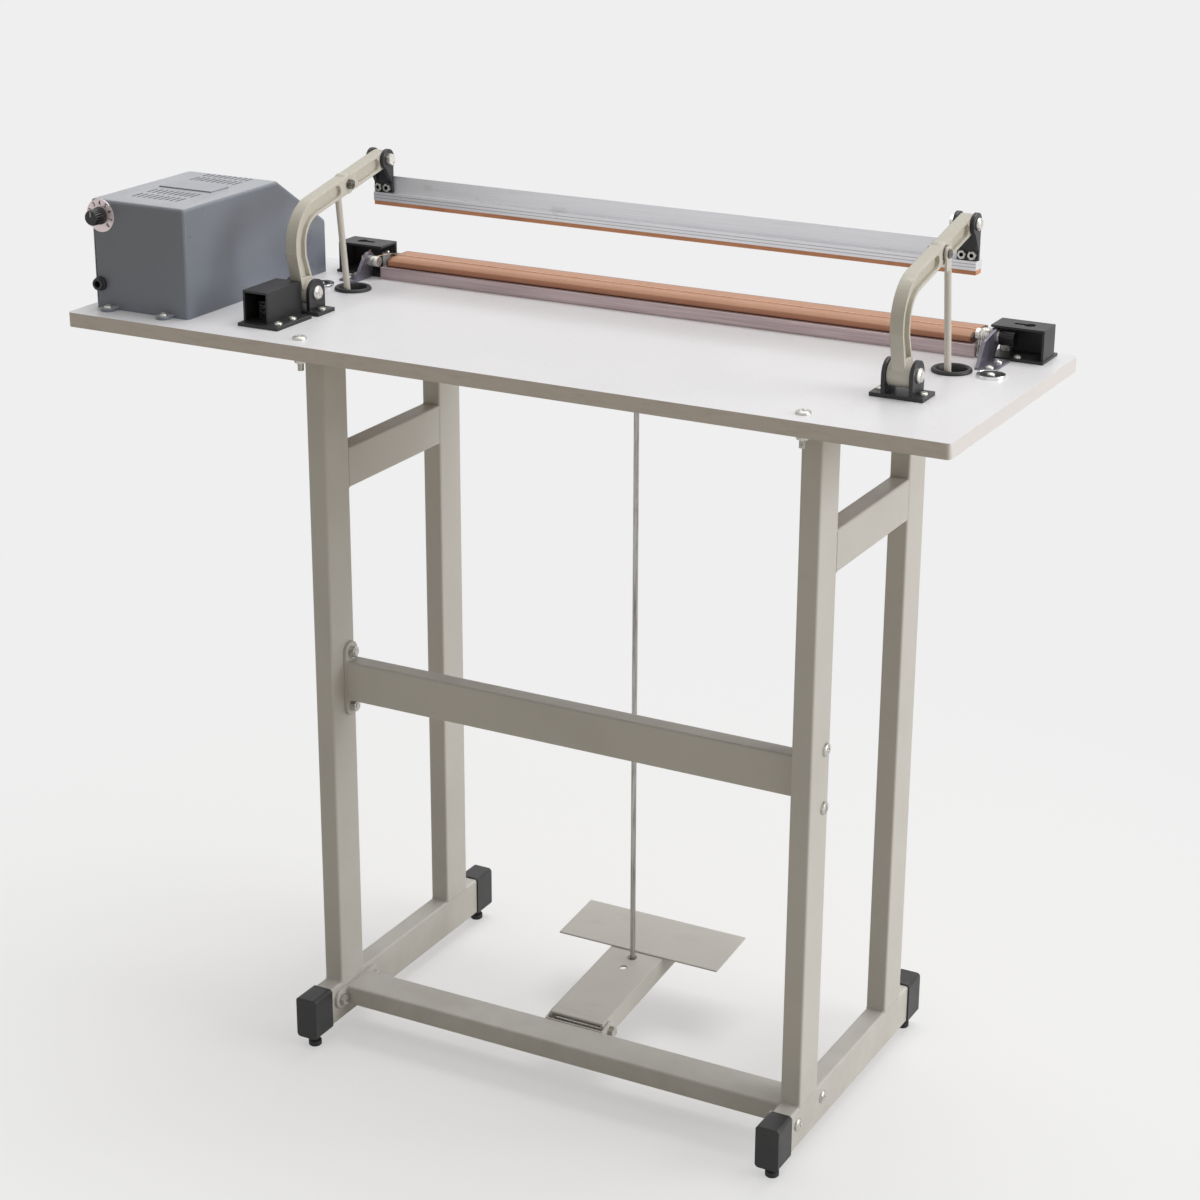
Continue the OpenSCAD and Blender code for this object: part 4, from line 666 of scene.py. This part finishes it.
marks = bmesh.new()
bpy.context.view_layer.update()
facing_near = Matrix.Rotation(math.radians(90), 4, "X")
for i in range(NUMBERS + 1):
    turn = math.radians(DIAL_START - DIAL_SWEEP / NUMBERS * i)
    upright = Matrix.Rotation(math.pi / 2 - turn, 4, "Y") @ facing_near
    at = DIAL + Vector((math.cos(turn), 0, math.sin(turn))) * NUMBER_R * MM
    flat_text(marks, str(i), NUMBER_H, Matrix.Translation(at) @ upright)
for i in range(TICKS + 1):
    turn = math.radians(DIAL_START - DIAL_SWEEP / TICKS * i)
    tick = Matrix.Translation(DIAL) @ Matrix.Rotation(math.pi / 2 - turn, 4, "Y")
    reach = (13.9, 14.6) if i % 5 else (13.5, 14.8)
    slab(marks, tick, (-0.12, 0.12), (-0.05, 0.02), reach)
keep("dial_marks", marks, ink.made, "stand", 60)
gloss_black = moulding("gloss_black", 14, 0.28)
knob = bmesh.new()
knob_seat = pointing((DIAL.x, KNOB_FOOT_Y, DIAL.z), -Y)
rows = []
for r, z, flute in KNOB_PROFILE:
    row = []
    for a in around(KNOB_RIBS * 8):
        d = r - flute * (0.5 + 0.5 * math.cos(KNOB_RIBS * a))
        at = Vector((d * math.cos(a), d * math.sin(a), z)) * MM
        row.append(knob.verts.new(knob_seat @ at))
    rows.append(row)
skin(knob, rows, ends=False)
bmesh.ops.remove_doubles(knob, verts=knob.verts, dist=0.001 * MM)
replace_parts(keep("fluted_knob", knob, gloss_black, "timer_dial", 30),
            "timer_knob")
pointer_white = Finish("pointer_white", rgb(232, 230, 226), 0.5)
pointer_white.tint(pointer_white.between(pointer_white.cloud(300), 0.5, 0.8), rgb(205, 200, 190))
pointer_white.raise_by(pointer_white.cloud(700), 0.01, 0.3)
pointer = bmesh.new()
knob_face = Matrix.Translation((DIAL.x, KNOB_FACE_Y, DIAL.z))
slab(pointer, knob_face, (-0.45, 0.45), (0.0, 0.3), (1.0, 5.8))
keep("knob_pointer", pointer, pointer_white.made, "timer_dial")


# Lead gland, switch and lamp. Black mouldings clipped into the cover: the gland for the
# supply lead low on the near face, a rocker and a red lamp on the operator's slope.
dress(black_plastic, "lead_gland", "switch_frame", "switch_housing")
# painted shade: the micro switch is gloss black, as the shade inside the housing's mouth
dress(gloss_black, "micro_switch")
soften(0.5, "lead_gland", punched=True)
soften(0.5, "switch_frame")
red = Finish("red_plastic", rgb(178, 28, 22), 0.22)
red.shader.inputs["Transmission Weight"].default_value = 0.15
red.tint(red.between(red.cloud(60), 0.45, 0.7), rgb(150, 18, 16))
red.raise_by(red.cloud(300, 1), 0.02, 0.3)
dress(red.made, "rocker", "pilot_lamp")
soften(0.4, "rocker")
SLOPE_TOP, SLOPE_DROP, SLOPE_RUN = (0, 0.017, 0.790), 50, 77
ROCKER_ON_SLOPE = (-0.342, 0.044, 0)
ROCKER_TILT, ROCKER_DISH = math.radians(7), math.radians(8.1)
SIGN_AT, STROKE_LONG, RING_R, RING_WIRE = 0.006, 1.8, 1.7, 0.24
slope = Matrix.Translation(SLOPE_TOP) @ Matrix.Rotation(-math.atan(SLOPE_DROP / SLOPE_RUN), 4, "X")
rocker_top = slope @ Matrix.Translation(ROCKER_ON_SLOPE) @ Matrix.Rotation(ROCKER_TILT, 4, "X")
signs = bmesh.new()
stroke_at = (rocker_top @ Matrix.Translation((0, -SIGN_AT, 0.0021))
             @ Matrix.Rotation(-ROCKER_DISH, 4, "X"))
slab(signs, stroke_at, (-0.35, 0.35), (-STROKE_LONG, STROKE_LONG), (-0.2, 0.12))
ring_at = (rocker_top @ Matrix.Translation((0, SIGN_AT, 0.00215))
           @ Matrix.Rotation(ROCKER_DISH, 4, "X"))
ring = [ring_at @ Vector((RING_R * MM * math.cos(a), RING_R * MM * math.sin(a), 0))
        for a in around(32)]
hose(signs, ring, lambda gone: RING_WIRE * MM, 6, True)
keep("rocker_signs", signs, pointer_white.made, "power_switch")


# Table screws. Small plated cross-head screws, driven into the board, hold the cover's
# lugs, the hinge brackets, the housings and the terminals.
ARMS_X = (-241, 341)
# place across, place along and height of what each screw holds
HINGE_FEET = [(x + s * 18.7, -49, 3.5) for x in ARMS_X for s in (-1, 1)]
BOX_LUGS = [(x, -135, 3) for x in (-397, -335)]
SWITCH_FOOT = [(-226.5, y, 3) for y in (-112, -90)]
HOUSING_FEET = [(x, 101.5, 2.5) for x in (-277.5, 385.5)]
RIGHT_TERMINAL = [(376, y, 2) for y in (59.5, 80)]
LEFT_TERMINAL = [(-273, y, 2) for y in (72, 87)]
screws = bmesh.new()
for i, (x, y, z) in enumerate(HINGE_FEET + BOX_LUGS + SWITCH_FOOT + HOUSING_FEET
                              + RIGHT_TERMINAL + LEFT_TERMINAL):
    at = Vector((x * MM, y * MM, TABLE_TOP))
    driven_head(screws, pointing(at + Z * z * MM, Z, 15 + 41 * i), 3.6, 2.2)
    lathe(screws, Matrix.Translation(at), [(0, -8.9), (1.7, -7), (1.7, z), (0, z)], 16)
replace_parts(keep("wood_screws", screws, zinc, "stand", 32), "table_screws")


# Hinge brackets. Black painted steel saddles, bent up into two ears that carry the
# arm's pin; the pin's broad head shows bright on the outer ear.
black_paint = coat("black_paint", rgb(38, 38, 41), 0.36, rgb(98, 95, 92))
dress(black_paint, "hinge_brackets", "tip_brackets")
soften(0.5, "hinge_brackets", "tip_brackets", punched=True)
dress(bright_zinc, "hinge_pins", "tip_bolts")
dress(zinc, "pedal_pin", "yoke_pin")
# painted shade: the rod pins' zinc is made dark, for the shade and dark reflections on them
dress(zinc_plate("zinc_painted_dark", 96), "rod_pins")
soften(0.35, "hinge_pins", "rod_pins", "tip_bolts", "pedal_pin", "yoke_pin")
spring_steel = Finish("spring_steel", rgb(120, 120, 122), 0.35, 0.9)
spring_steel.tint(spring_steel.between(spring_steel.cloud(200), 0.5, 0.7), rgb(86, 80, 74))
spring_steel.raise_by(spring_steel.cloud(900), 0.01, 0.3)
dress(spring_steel.made, "hub_springs")


# Arms. Grey enamelled castings with an I section: pockets on both sides leave a thin
# web and a rounded rim, the boss and the hub stay full.
arm_paint = Finish("arm_paint", rgb(202, 198, 186), 0.38)
arm_paint.rounded(1.2)
arm_paint.tint(arm_paint.between(arm_paint.cloud(18), 0.42, 0.7, 0, 0.7), rgb(188, 183, 168))
arm_rubbed = arm_paint.between(arm_paint.cloud(70), 0.35, 0.6)
arm_paint.tint(arm_paint.sums("MULTIPLY", arm_paint.edges(0.7), arm_rubbed), rgb(224, 221, 210))
arm_paint.tint(arm_paint.between(arm_paint.cloud(260, 2), 0.68, 0.78, 0, 0.6), rgb(140, 132, 116))
arm_paint.roughen(arm_paint.cloud(30), 0.32, 0.52)
arm_paint.raise_by(arm_paint.cloud(130, 3), 0.25, 0.4)
arm_paint.raise_by(arm_paint.cloud(600, 2), 0.05, 0.3)
dress(arm_paint.made, "arm_left", "arm_right")
soften(0.8, "arm_left", "arm_right")


# Upper jaw. A drawn aluminium section, web up and foot down, with a brown silicone
# strip under it; small bolts and nuts clamp it to the two black tip brackets.
GROOVES_Z = (0.7725, 0.7697)
JAW_BOLT_Z, JAW_BOLT_OFF = 0.77957695, 4.6
WEB_NEAR, WEB_FAR = 0.0870498, 0.0930498
aluminium = Finish("jaw_aluminium", rgb(228, 228, 231), 0.46, 0.85)
along = aluminium.stretched(0.35, 60, 60)
aluminium.tint(aluminium.between(aluminium.cloud(40, 4, 0.6, along), 0.4, 0.65, 0, 0.45),
               rgb(206, 206, 209))
# painted shade: two thin dark lines on the near face, the shade in its grooves
for z in GROOVES_Z:
    off = aluminium.sums("ABSOLUTE", aluminium.sums("SUBTRACT", aluminium.coordinate("Z"), z), 0)
    groove_shade_mask = aluminium.sums("MULTIPLY", aluminium.between(off, 0.00015, 0.0004, 1, 0),
                            aluminium.between(aluminium.facing(1, -0.9, -0.6), 0, 1, 0.7, 0))
    aluminium.tint(groove_shade_mask, rgb(120, 118, 118))
aluminium.tint(aluminium.between(aluminium.cloud(60, 2), 0.66, 0.78, 0, 0.3), rgb(176, 174, 173))
aluminium.roughen(aluminium.cloud(40, 3, 0.6, along), 0.38, 0.56)
aluminium.raise_by(aluminium.cloud(60, 4, 0.6, along), 0.012, 0.4)
dress(aluminium.made, "jaw_bar")
soften(0.35, "jaw_bar")
silicone = Finish("silicone_pad", rgb(214, 148, 106), 0.5)
silicone.tint(silicone.between(silicone.cloud(25), 0.45, 0.7), rgb(196, 130, 90))
silicone.raise_by(silicone.cloud(300, 2), 0.06, 0.4)
dress(silicone.made, "jaw_pad")
soften(0.4, "jaw_pad")
jaw_fixings = bmesh.new()
for i, arm_x in enumerate(ARMS_X):
    for s in (-1, 1):
        x = (arm_x + s * JAW_BOLT_OFF) * MM
        near, far = (x, WEB_NEAR, JAW_BOLT_Z), (x, WEB_FAR, JAW_BOLT_Z)
        chamfered_nut(jaw_fixings, pointing(near, -Y, 13 + 29 * i), 4, 3)
        thread(jaw_fixings, pointing(near, -Y), 1.95, -5.8, 3.0, 0.7)
        driven_head(jaw_fixings, pointing(far, Y, 30 * s), 4, 3)
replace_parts(keep("jaw_fixings", jaw_fixings, zinc, "upper_jaw", 32), "jaw_bolts")


# Lower jaw. A tinted aluminium channel on the table carries a block of heat-proof
# laminate; the sealing ribbon lies in the block under the cloth, the wire on top of it.
base_metal = Finish("base_aluminium", rgb(204, 186, 188), 0.42, 0.65)
along = base_metal.stretched(0.6, 30, 30)
base_metal.tint(base_metal.between(base_metal.cloud(20, 4, 0.6, along), 0.4, 0.65),
                rgb(178, 160, 162))
base_metal.raise_by(base_metal.cloud(26, 4, 0.6, along), 0.03, 0.5)
base_metal.roughen(base_metal.cloud(24), 0.32, 0.5)
dress(base_metal.made, "jaw_base")
soften(0.4, "jaw_base")
laminate_block = Finish("block_insulation", rgb(96, 66, 50), 0.6)
layers = laminate_block.cloud(30, 3, 0.6, laminate_block.stretched(1, 1, 30))
laminate_block.tint(laminate_block.between(layers, 0.45, 0.6), rgb(74, 48, 36))
laminate_block.raise_by(laminate_block.cloud(200), 0.05, 0.4)
dress(laminate_block.made, "jaw_block")
alloy = Finish("heating_alloy", rgb(170, 165, 156), 0.36, 0.95)
alloy.tint(alloy.between(alloy.cloud(60), 0.45, 0.7), rgb(120, 104, 92))
alloy.raise_by(alloy.cloud(400), 0.01, 0.3)
dress(alloy.made, "sealing_ribbon")
# painted light: the cutting wire is made pale and cloth-brown, so its shaded near side shows no
# dark line
wire_painted_pale = Finish("wire_painted_pale", rgb(242, 206, 182), 0.5, 0.6)
wire_painted_pale.tint(wire_painted_pale.between(wire_painted_pale.cloud(70), 0.45, 0.7), rgb(222, 184, 158))
wire_painted_pale.raise_by(wire_painted_pale.cloud(400), 0.01, 0.3)
dress(wire_painted_pale.made, "cutting_wire")


# Cloth. Brown coated glass cloth is stretched over the block and stuck down its sides,
# which carry painted shade; its far edge is darker, and it has small waves between the edges.
CLOTH_X = (-0.244, 0.344)
CLOTH_COLUMNS = 180
NEAR_SIDE_ROWS, FAR_SIDE_FROM = 4, 17
FAR_DARK_FROM, FAR_DARK_TO = 0.1318, 0.1325
# across and up, from the foot of the near side over the block's top to the far foot
CLOTH_PROFILE = [(96.6, 702.1), (96.6, 703.5), (96.6, 705), (96.65, 706.3), (98.1, 707.15),
                 (99.8, 707.95), (101.7, 708.8), (103, 709.05), (107, 709.05),
                 (111, 709.05), (114.5, 709.04), (118, 709.05), (121.5, 709.06),
                 (125, 709.05), (129, 709.05), (132.5, 709.05), (134.1, 708.9),
                 (134.4, 708.3), (134.4, 706), (134.4, 704), (134.4, 702.1)]
glass_cloth = Finish("glass_cloth", rgb(190, 141, 110), 0.42)
# painted shade: faces not turned up are a little darker, as the sides in shade
side_shade_mask = glass_cloth.between(glass_cloth.facing(2, 0.4, 0.9), 0, 1, 1, 0)
glass_cloth.tint(side_shade_mask, rgb(190, 132, 102))
warp = glass_cloth.nodes.new("ShaderNodeTexWave")
warp.bands_direction = "X"
weft = glass_cloth.nodes.new("ShaderNodeTexWave")
weft.bands_direction = "Y"
for wave in (warp, weft):
    wave.inputs["Scale"].default_value = 620
    wave.inputs["Distortion"].default_value = 0.6
    glass_cloth.links.new(glass_cloth.place, wave.inputs["Vector"])
woven = glass_cloth.sums("MAXIMUM", warp.outputs["Fac"], weft.outputs["Fac"])
glass_cloth.tint(glass_cloth.between(woven, 0.4, 0.9, 0.3, 0), rgb(156, 102, 72))
glass_cloth.tint(glass_cloth.between(glass_cloth.cloud(14, 4), 0.45, 0.75, 0, 0.5),
                 rgb(198, 148, 116))
# darker along the far edge of the top
far_edge = glass_cloth.between(glass_cloth.coordinate("Y"), FAR_DARK_FROM, FAR_DARK_TO, 0, 0.85)
glass_cloth.tint(far_edge, rgb(96, 84, 80))
glass_cloth.roughen(glass_cloth.cloud(60), 0.34, 0.55)
glass_cloth.raise_by(woven, 0.05, 0.5)
glass_cloth.raise_by(glass_cloth.cloud(25, 2, 0.5, glass_cloth.stretched(1, 0.4, 0.4)), 0.5, 0.25)
cloth = bmesh.new()
rows = []
for i in range(CLOTH_COLUMNS + 1):
    x = CLOTH_X[0] + (CLOTH_X[1] - CLOTH_X[0]) * i / CLOTH_COLUMNS
    row = []
    for j, (y, z) in enumerate(CLOTH_PROFILE):
        lift = 0.06 * noise.noise(Vector((x * 24, y * 0.05, 0)))
        side = 0.12 * noise.noise(Vector((x * 30, 7.3, z * 0.2)))
        if j < NEAR_SIDE_ROWS:
            row.append(cloth.verts.new((x, (y - abs(side)) * MM, z * MM)))
        elif j >= FAR_SIDE_FROM:
            row.append(cloth.verts.new((x, (y + abs(side)) * MM, z * MM)))
        else:
            row.append(cloth.verts.new((x, y * MM, (z + lift) * MM)))
    rows.append(row)
for a, b in zip(rows, rows[1:]):
    for j in range(len(CLOTH_PROFILE) - 1):
        cloth.faces.new((a[j], b[j], b[j + 1], a[j + 1]))
cloth_piece = keep("cloth_cover", cloth, glass_cloth.made, "stand", 80)
thick = cloth_piece.modifiers.new("cloth_thickness", "SOLIDIFY")
thick.thickness = 0.25 * MM
thick.offset = -1
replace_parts(cloth_piece, "jaw_cloth")


# Terminals and end housings. Studs with spools and nuts pull the cutting wire tight on
# two dark angle plates; black covers stand over the ribbon's posts at both ends.
dark_steel = Finish("dark_steel", rgb(142, 139, 152), 0.3, 0.8)
dark_steel.tint(dark_steel.between(dark_steel.cloud(50), 0.45, 0.7), rgb(110, 105, 116))
dark_steel.roughen(dark_steel.cloud(90), 0.24, 0.42)
dark_steel.raise_by(dark_steel.cloud(300, 2), 0.02, 0.3)
dress(dark_steel.made, "terminal_brackets")
soften(0.4, "terminal_brackets", punched=True)
dress(bright_zinc, "terminal_clamps")
soften(0.25, "terminal_clamps")
STUD_Y, STUD_Z = 103, 708.5
WINDING_R, WINDING_WIRE = 6.0, 0.45
WINDINGS_X = (354.6, 356.4, 358.2, 360.0, 361.8)
HAIRPIN_WIRE = 0.5
HAIRPIN = [(353.2, 98.4, 712.0), (352.6, 97.3, 709.6), (352.2, 96.9, 706), (351.7, 95.8, 699.5),
           (351.3, 94.8, 693.4), (351.5, 94.4, 691.7), (352.1, 94.3, 691.2), (352.7, 94.5, 691.8),
           (353.1, 95.0, 693.6), (353.7, 96.0, 699.5), (354.3, 96.7, 704.5), (354.6, 97.2, 706.5)]
wound = bmesh.new()
for x in WINDINGS_X:
    turn = [Vector((x, STUD_Y + WINDING_R * math.cos(a), STUD_Z + WINDING_R * math.sin(a))) * MM
            for a in around(40)]
    hose(wound, turn, lambda gone: WINDING_WIRE * MM, 8, True)
hose(wound, [Vector(p) * MM for p in HAIRPIN], lambda gone: HAIRPIN_WIRE * MM, 10)
keep("spool_windings", wound, bright_zinc, "stand", 50)
copper = Finish("copper_tab", rgb(206, 160, 136), 0.36, 0.6)
copper.tint(copper.between(copper.cloud(120), 0.45, 0.7), rgb(160, 112, 90))
copper.raise_by(copper.cloud(300), 0.03, 0.3)
TAB_CORNERS = [(-274.6, 97, 707.9), (-262.4, 95, 716.1), (-261.5, 94.5, 708.0),
               (-263.2, 95.5, 705.6)]
HALF_TAB = 0.2
tab = bmesh.new()
skin(tab, [[tab.verts.new(Vector((x, y + t, z)) * MM) for x, y, z in TAB_CORNERS]
           for t in (-HALF_TAB, HALF_TAB)])
keep("ribbon_tail", tab, copper.made, "stand")
dress(gloss_black, "tension_knob")
dress(black_plastic, "end_housing_left", "end_housing_right")
soften(0.6, "end_housing_left", "end_housing_right", "switch_housing", punched=True)
soften(0.25, "tension_knob")


# Pull linkage. Painted 6 mm rods hang from the arms and carry the yoke bar under the
# table; one bright 5 mm rod runs from the yoke down to the pedal.
rod_paint = coat("rod_paint", rgb(210, 203, 193), 0.36, rgb(222, 217, 208))
rod_steel = Finish("rod_steel", rgb(186, 184, 180), 0.34, 0.85)
drawn = rod_steel.stretched(30, 30, 1)
draw_lines = rod_steel.cloud(30, 3, 0.6, drawn)
rod_steel.tint(rod_steel.between(draw_lines, 0.45, 0.7), rgb(138, 134, 128))
rod_steel.roughen(draw_lines, 0.25, 0.45)
rod_steel.raise_by(draw_lines, 0.02, 0.4)
dress(rod_paint, "pull_rods")
dress(rod_steel.made, "centre_rod")
dress(zinc, "rod_nuts", "rod_end_nut")
soften(0.3, "rod_nuts", "rod_end_nut")
yoke_steel = coat("yoke_steel", rgb(120, 116, 110), 0.45)
dress(yoke_steel, "yoke_bar")
soften(0.5, "yoke_bar")


# Pedal. A folded channel pivots on the lower rail and carries the treadle plate; both
# have the stand's coat, rubbed where the foot rests.
treadle_paint = Finish("treadle_paint", rgb(202, 200, 194), 0.42)
treadle_paint.rounded(2.0)
treadle_paint.tint(treadle_paint.between(treadle_paint.cloud(9), 0.42, 0.7, 0, 0.4),
                   rgb(192, 188, 181))
scratched = treadle_paint.between(treadle_paint.cloud(
    30, 5, 0.7, treadle_paint.stretched(1, 3, 1)), 0.52, 0.68)
trodden = treadle_paint.between(treadle_paint.cloud(12, 2), 0.4, 0.6, 0, 0.2)
treadle_paint.tint(treadle_paint.sums("MULTIPLY", scratched, trodden), rgb(164, 160, 153))
rubbed = treadle_paint.between(treadle_paint.cloud(50), 0.3, 0.6)
treadle_paint.tint(treadle_paint.sums("MULTIPLY", treadle_paint.edges(0.6), rubbed),
                   rgb(222, 218, 210))
treadle_paint.roughen(treadle_paint.cloud(24), 0.34, 0.54)
treadle_paint.raise_by(treadle_paint.cloud(420, 2), 0.05, 0.35)
dress(treadle_paint.made, "pedal_arm", "treadle")
soften(0.5, "pedal_arm", "treadle", punched=True)


# Floor, light and camera. A pale floor that fades into a pale backdrop, a broad lamp high
# above, a second one far off to the right, and a long lens from the machine's near right.
BACKDROP = rgb(239, 239, 239)
FLOOR_HALF = 9
FADE_FROM, FADE_TO = 0.2, 1.0
floor_mesh = bpy.data.meshes.new("floor")
floor_corners = [(x * FLOOR_HALF, y * FLOOR_HALF, 0)
                 for x, y in ((-1, -1), (1, -1), (1, 1), (-1, 1))]
floor_mesh.from_pydata(floor_corners, [], [(0, 1, 2, 3)])
floor = bpy.data.objects.new("floor", floor_mesh)
bpy.context.scene.collection.objects.link(floor)
floor_paint = Finish("floor_paint", rgb(246, 246, 246), 0.9)
floor_paint.raise_by(floor_paint.cloud(30), 0.2, 0.1)
paper, joins = floor_paint.nodes, floor_paint.links
glow = paper.new("ShaderNodeEmission")
glow.inputs["Color"].default_value = (*BACKDROP, 1)
dull = paper.new("ShaderNodeBsdfDiffuse")
dull.inputs["Color"].default_value = (*rgb(188, 181, 166), 1)
from_middle = paper.new("ShaderNodeVectorMath")
from_middle.operation = "LENGTH"
joins.new(floor_paint.place, from_middle.inputs[0])
fade = paper.new("ShaderNodeMixShader")
faded = floor_paint.between(from_middle.outputs["Value"], FADE_FROM, FADE_TO, 0.5, 1)
joins.new(faded, fade.inputs[0])
joins.new(floor_paint.shader.outputs[0], fade.inputs[1])
joins.new(glow.outputs[0], fade.inputs[2])
path = paper.new("ShaderNodeLightPath")
looked_at = floor_paint.sums("MAXIMUM", path.outputs["Is Camera Ray"], floor_paint.sums(
    "MAXIMUM", path.outputs["Is Glossy Ray"], path.outputs["Is Transmission Ray"]))
ground = paper.new("ShaderNodeMixShader")
joins.new(looked_at, ground.inputs[0])
joins.new(dull.outputs[0], ground.inputs[1])
joins.new(fade.outputs[0], ground.inputs[2])
joins.new(ground.outputs[0], paper["Material Output"].inputs["Surface"])
floor_mesh.materials.append(floor_paint.made)

world = bpy.data.worlds.new("studio")
bpy.context.scene.world = world
world.use_nodes = True
sky, wires = world.node_tree.nodes, world.node_tree.links
lit = sky["Background"]
lit.inputs["Color"].default_value = (1.0, 0.96, 0.9, 1)
lit.inputs["Strength"].default_value = 0.34
shown = sky.new("ShaderNodeBackground")
shown.inputs["Color"].default_value = (*BACKDROP, 1)
shown.inputs["Strength"].default_value = 1.0
ray = sky.new("ShaderNodeLightPath")
seen = ray.outputs["Is Camera Ray"]
for other in ("Is Transmission Ray", "Is Glossy Ray"):
    either = sky.new("ShaderNodeMath")
    either.operation = "MAXIMUM"
    wires.new(seen, either.inputs[0])
    wires.new(ray.outputs[other], either.inputs[1])
    seen = either.outputs["Value"]
pick = sky.new("ShaderNodeMixShader")
wires.new(seen, pick.inputs[0])
wires.new(lit.outputs[0], pick.inputs[1])
wires.new(shown.outputs[0], pick.inputs[2])
wires.new(pick.outputs[0], sky["World Output"].inputs["Surface"])


def lamp(name, at, aim, power, size):
    """Adds a square area lamp at a place in metres, turned toward another."""
    made = bpy.data.lights.new(name, "AREA")
    made.energy = power
    made.size = size
    shown = bpy.data.objects.new(name, made)
    shown.location = at
    shown.rotation_euler = (Vector(aim) - Vector(at)).to_track_quat("-Z", "Y").to_euler()
    bpy.context.scene.collection.objects.link(shown)


lamp("overhead", (0.6, 1.9, 7.6), (0, 0, 0.5), 350, 5.6)
lamp("right_side", (7.2, 1.4, 2.5), (0, 0, 0.45), 300, 4.2)

CAMERA_AT = Vector((1.106657, -2.004531, 1.276399))
CAMERA_TURN, CAMERA_TILT, CAMERA_ROLL = (math.radians(a) for a in (28.06, 20.128, 0.293))
FOCAL_PIXELS, FRAME_PIXELS, SENSOR = 2660.665, 1200, 36
back = Vector((math.sin(CAMERA_TURN) * math.cos(CAMERA_TILT),
               -math.cos(CAMERA_TURN) * math.cos(CAMERA_TILT), math.sin(CAMERA_TILT)))
right = Vector((math.cos(CAMERA_TURN), math.sin(CAMERA_TURN), 0))
up = back.cross(right)
rolled_right = right * math.cos(CAMERA_ROLL) + up * math.sin(CAMERA_ROLL)
rolled_up = up * math.cos(CAMERA_ROLL) - right * math.sin(CAMERA_ROLL)
lens = bpy.data.cameras.new("camera")
lens.sensor_width = SENSOR
lens.lens = FOCAL_PIXELS / FRAME_PIXELS * SENSOR
lens.clip_end = 50
camera = bpy.data.objects.new("camera", lens)
camera.matrix_world = Matrix((
    (rolled_right.x, rolled_up.x, back.x, CAMERA_AT.x),
    (rolled_right.y, rolled_up.y, back.y, CAMERA_AT.y),
    (rolled_right.z, rolled_up.z, back.z, CAMERA_AT.z),
    (0, 0, 0, 1)))
bpy.context.scene.collection.objects.link(camera)
bpy.context.scene.camera = camera
bpy.context.scene.view_settings.view_transform = "Standard"
